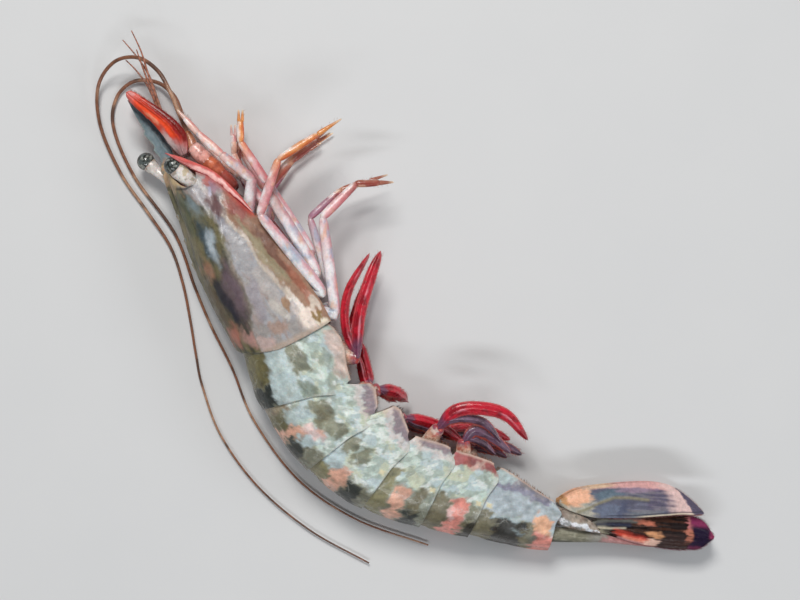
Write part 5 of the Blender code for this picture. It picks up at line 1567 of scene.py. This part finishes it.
def make_outer_blade(side):
    """The upper blade: a stiff outer edge, ribs fanning along it, a pale band before its end."""
    rise = SIDES[side]
    piece = Piece(f"fan_outer_{side}")

    def ribs(t, x):
        fan = np.sin((x - 0.45) * (34.0 + 10.0 * t)) * ease(0.35, 0.6, t) * ease(1.0, 0.85, t)
        return 0.07 * fan + 0.36 * np.exp(-((x - 0.88) / 0.05) ** 2) * ease(0.9, 0.7, t)

    net, x, edges = fan_blade(OUTER_BACK, OUTER_BELLY, (5.2 * rise, 4.4 * rise), ribs, 0.5, 52)
    along, belly = frame_places(FAN, net)
    vein = 0.18 * streak(along, belly, OUTER_VEIN, 0.9)
    net = net + UP * vein[..., None] * rise * MM * (x > 0.0)[..., None]
    finish_blade(piece, net, outer_blade_tint(along, belly, net), edges,
                 ((70, 165, 200), (126, 165, 110)), 91, (0.34, 0.16, 0.16), f"uropod_outer_{side}")


INNER_BACK = ((8.6, 1.2), (12.0, 0.2), (15.0, -0.4), (20.0, -1.4), (26.0, -2.1), (32.0, -2.3),
              (37.0, -1.9), (40.0, -1.0), (42.8, 1.6))
INNER_BELLY = ((8.6, 1.8), (12.0, 3.5), (15.0, 4.2), (20.0, 4.8), (26.0, 5.8), (32.0, 6.6), (36.0, 6.8),
               (39.6, 5.8), (42.8, 2.2))
INNER_MARKS = (((0.82, 0.54, 0.43), 0.9, (26.2, -1.1), (1.8, 1.0), 0.0),
               ((0.66, 0.32, 0.16), 0.95, (27.0, 0.9), (1.9, 0.9), 0.0),
               ((0.58, 0.19, 0.12), 0.93, (24.6, 4.0), (2.4, 0.75), -6.0))
ROOT_STREAKS = (((0.3, 0.3, 0.27), 0.9, ((10.0, 2.7), (16.0, 3.6), (23.0, 4.3)), 0.9),
                ((0.56, 0.5, 0.38), 0.9, ((10.0, 1.3), (14.0, 1.4), (19.0, 2.0)), 0.5),
                ((0.024, 0.03, 0.06), 0.9, ((11.5, 2.2), (15.0, 2.6), (20.0, 3.0)), 1.1))
SALMON_WEDGE = ((19.0, -0.5), (22.0, -1.0), (25.6, -1.3))
ROSY_EDGE = ((17.5, -0.7), (21.0, -1.4), (26.0, -1.9))
RED_WEDGE = ((16.4, 0.9), (18.6, 0.3), (22.0, -0.4), (25.2, -1.0))


def inner_blade_tint(along, belly, net):
    """Black and brown streaks, a red wedge, orange and salmon spots, a plum tip."""
    wander = cloud(net, 1.6, 86)
    lines = grain_of_fan(along, belly, 89)
    a = along + 0.8 * wander + 1.2 * lines
    b = belly + 0.3 * wander
    tint = plain(along.shape, (0.014, 0.008, 0.008))
    lay(tint, (0.065, 0.026, 0.016), 0.85 * ease(0.02, 0.4, lines))
    lay(tint, (0.045, 0.026, 0.024), 0.8 * patch(a, b, (27.0, 36.0, -3.0, 1.6), (1.0, 0.6)))
    lay(tint, (0.46, 0.42, 0.31), 0.95 * ease(15.5, 12.0, a))
    lay_streaks(tint, along, belly, ROOT_STREAKS)
    lay(tint, (0.58, 0.06, 0.034), 0.97 * streak(along, b, RED_WEDGE, 1.6) * ease(15.6, 17.2, a))
    lay(tint, (0.84, 0.3, 0.2), 0.93 * streak(along, b, SALMON_WEDGE, 1.1))
    lay(tint, (0.5, 0.26, 0.26), 0.9 * streak(along, belly, ROSY_EDGE, 0.6))
    lay_marks(tint, a, b, INNER_MARKS, 1.0, soft=0.4)
    band = ease(34.9, 35.8, a) * ease(37.8, 36.8, a)
    lay(tint, (0.5, 0.18, 0.12), 0.9 * band * ease(-0.6, 0.6, b))
    lay(tint, (0.5, 0.17, 0.19), 0.85 * band * ease(3.0, 4.0, b))
    tip = ease(36.8, 37.8, along + 0.6 * wander + 0.3 * np.abs(belly - 2.0))
    lay(tint, (0.016, 0.008, 0.03), 0.97 * tip)
    lay(tint, (0.27, 0.035, 0.11), 0.85 * tip * ease(3.6, 5.0, b))
    lay(tint, (0.36, 0.05, 0.13), 0.85 * ease(41.0, 42.2, along) * ease(1.0, 2.0, b))
    lay(tint, (0.13, 0.022, 0.06), 0.8 * tip * ease(-0.6, -1.2, b))
    return tint


def make_inner_blade(side):
    """The blade below it: dark, with a red wedge, an orange spot and a purple tip."""
    rise = SIDES[side]
    piece = Piece(f"fan_inner_{side}")

    def ribs(t, x):
        return (0.07 * np.sin((x - 0.5) * 34.0) * ease(0.1, 0.4, t)
                + 0.34 * np.exp(-((x - 0.42) / 0.05) ** 2))

    net, _, edges = fan_blade(INNER_BACK, INNER_BELLY, (1.6 * rise, 3.0 * rise), ribs, 0.45, 44)
    finish_blade(piece, net, inner_blade_tint(*frame_places(FAN, net), net), edges,
                 ((90, 166, 150), (120, 166, 130)), 92, (0.22, 0.07, 0.1), f"uropod_inner_{side}")


# ---------------------------------------------------------------- the soft underside

BELLY_ROWS = 220
BELLY_SIDES = 40
CORE_ROWS = 130
CORE_SIDES = 60


def make_belly():
    """The pale, cross-ridged skin between the side lobes of the tail."""
    piece = Piece("tail_belly")
    angle = 2.0 * np.pi * np.arange(BELLY_SIDES) / BELLY_SIDES
    net = []
    for share in np.linspace(0.02, 5.98, BELLY_ROWS):
        index = int(share)
        t = share - index
        belly = between(BELLY_DEPTH, index, t)
        back = between(BACK_DEPTH, index, t)
        width = between(HALF_WIDTH, index, t) * 0.78
        ridge = 0.7 * math.exp(-((t - 0.5) / 0.16) ** 2)
        depth = np.cos(angle) * np.where(np.cos(angle) > 0, belly - 3.2 + ridge, back * 0.82)
        net.append(axis_frame(index, t).at(0.0, depth, width * np.sin(angle)))
    net = np.array(net)
    tint = plain(net.shape[:2], (0.52, 0.4, 0.33))
    stain(tint, net, ((0.62, 0.3, 0.24), 0.7, 0.0, 0.3, 1.6, 95),
          ((0.3, 0.3, 0.26), 0.6, 0.1, 0.4, 2.6, 96))
    piece.grid(net, tint)
    piece.build(MATERIALS["flesh"], "tail_shell", [])


def make_head_core():
    """What shows inside the carapace's edges: the plates that carry the legs, gills and mouth."""
    piece = Piece("head_core")
    ahead = np.linspace(-1.0, 55.0, CORE_ROWS)
    around = 2.0 * np.pi * np.arange(CORE_SIDES) / CORE_SIDES
    back = np.interp(ahead, CARAPACE_AHEAD, CARAPACE_BACK) * 0.84
    belly = np.interp(ahead, (-1.0, 8.0, 16.0, 26.0, 36.0, 44.0, 50.0, 55.0),
                      (11.0, 12.2, 12.4, 11.8, 11.0, 9.6, 7.0, 3.6))
    width = np.interp(ahead, CARAPACE_AHEAD, CARAPACE_WIDTH) * 0.8
    narrow = 1.0 - 0.45 * np.clip(np.cos(around), 0.0, 1.0)[None, :] ** 2
    depth = np.where(np.cos(around)[None, :] > 0, belly[:, None] * np.cos(around),
                     back[:, None] * np.cos(around))
    rise = width[:, None] * np.sin(around)[None, :] * narrow
    ribs = 0.35 * np.sin(ahead * 1.05)[:, None] * np.clip(np.cos(around), 0.0, 1.0)[None, :]
    net = HEAD.at(ahead[:, None], depth + ribs, rise)
    tint = plain(net.shape[:2], (0.4, 0.2, 0.14))
    stain(tint, net, ((0.66, 0.45, 0.36), 0.8, 0.0, 0.3, 1.8, 97))
    lay(tint, (0.2, 0.05, 0.04), 0.8 * ease(34.0, 44.0, ahead[:, None]))
    stain(tint, net, ((0.12, 0.1, 0.09), 0.6, 0.1, 0.4, 2.8, 98))
    piece.grid(net, tint)
    piece.build(MATERIALS["flesh"], "head_shell", [])


# ---------------------------------------------------------------- stage, lights and camera

CAMERA_TILT = 3.0               # degrees from straight above, towards the prawn's back
CAMERA_ROLL = 37.1              # degrees, so that the head lies up on the left
CAMERA_DISTANCE = 620.0
CAMERA_LENS = 106.0
CAMERA_AIM = (-0.0021, 0.0176, 0.0)   # from the middle of the box, in metres

FLOOR_HALF = 3.0                # metres
FLOOR_HEIGHT = -0.0004
# name, place, size, power and colour of each soft light, in metres and watts
LIGHTS = (("key", (-0.35, 0.3, 0.75), (0.26, 0.26), 4.8, (1.0, 0.985, 0.96)),
          ("strip", (0.3, -0.45, 0.6), (0.5, 0.08), 1.9, (0.94, 0.97, 1.0)),
          ("fill", (0.6, 0.45, 0.55), (0.3, 0.3), 1.5, (0.96, 0.98, 1.0)))
LIT_POINT = (0.0, 0.0, 0.01)


def make_stage():
    """A wide pale floor just under the prawn."""
    floor_mesh = bpy.data.meshes.new("floor")
    corners = [(x * FLOOR_HALF, y * FLOOR_HALF, FLOOR_HEIGHT)
               for x, y in ((-1, -1), (1, -1), (1, 1), (-1, 1))]
    floor_mesh.from_pydata(corners, [], [(0, 1, 2, 3)])
    graph = Graph("pale_floor")
    tone = graph.noise(40.0, 4.0)
    colour = graph.blend(tone, (0.66, 0.665, 0.67, 1.0), (0.7, 0.7, 0.7, 1.0))
    graph.feed(graph.surface.inputs["Base Color"], colour)
    graph.surface.inputs["Roughness"].default_value = 0.65
    floor_mesh.materials.append(graph.material)
    floor = bpy.data.objects.new("floor", floor_mesh)
    bpy.context.scene.collection.objects.link(floor)


def make_light(name, place, size, power, colour):
    """A soft rectangular light that looks at the prawn."""
    data = bpy.data.lights.new(name, "AREA")
    data.shape = "RECTANGLE"
    data.size, data.size_y = size
    data.energy = power
    data.color = colour
    lamp = bpy.data.objects.new(name, data)
    bpy.context.scene.collection.objects.link(lamp)
    lamp.location = place
    lamp.rotation_euler = (Vector(LIT_POINT) - lamp.location).to_track_quat("-Z", "Y").to_euler()


def make_lights():
    """The three soft lights and a dim pale world."""
    for light in LIGHTS:
        make_light(*light)
    world = bpy.data.worlds.new("studio")
    world.use_nodes = True
    world.node_tree.nodes["Background"].inputs["Color"].default_value = (0.92, 0.95, 1.0, 1.0)
    world.node_tree.nodes["Background"].inputs["Strength"].default_value = 0.15
    bpy.context.scene.world = world
    bpy.context.scene.view_settings.view_transform = "Standard"


def make_camera():
    """A camera high above, turned so that the head lies up on the left."""
    data = bpy.data.cameras.new("camera")
    data.lens = CAMERA_LENS
    data.clip_start = 0.01
    camera = bpy.data.objects.new("camera", data)
    bpy.context.scene.collection.objects.link(camera)
    low, high = (Vector(corner) for corner in CAD_BOX)
    middle = 0.5 * (low + high) + Vector(CAMERA_AIM)
    tilt = math.radians(CAMERA_TILT)
    way = Vector((0.0, -math.sin(tilt), math.cos(tilt)))
    camera.location = middle + way * CAMERA_DISTANCE * MM
    roll = math.radians(CAMERA_ROLL)
    up = Vector((-math.sin(roll), math.cos(roll), 0.0))
    right = up.cross(way).normalized()
    up = way.cross(right).normalized()
    camera.rotation_euler = Matrix((right, up, way)).transposed().to_euler()
    bpy.context.scene.camera = camera


make_camera()
make_stage()
make_lights()
make_carapace()
make_rostrum()
make_head_core()
make_belly()
for segment in range(len(SEGMENT_LENGTH)):
    make_segment(segment)
for side in SIDES:
    make_eye(side)
    make_scale(side)
    make_antenna_base(side)
    make_antennule(side)
    make_antenna(side)
    make_uropod_stem(side)
    make_outer_blade(side)
    make_inner_blade(side)
for name in LEGS:
    make_leg(name)
for segment, side in SWIMMERETS:
    make_swimmeret(segment, side)
make_telson()
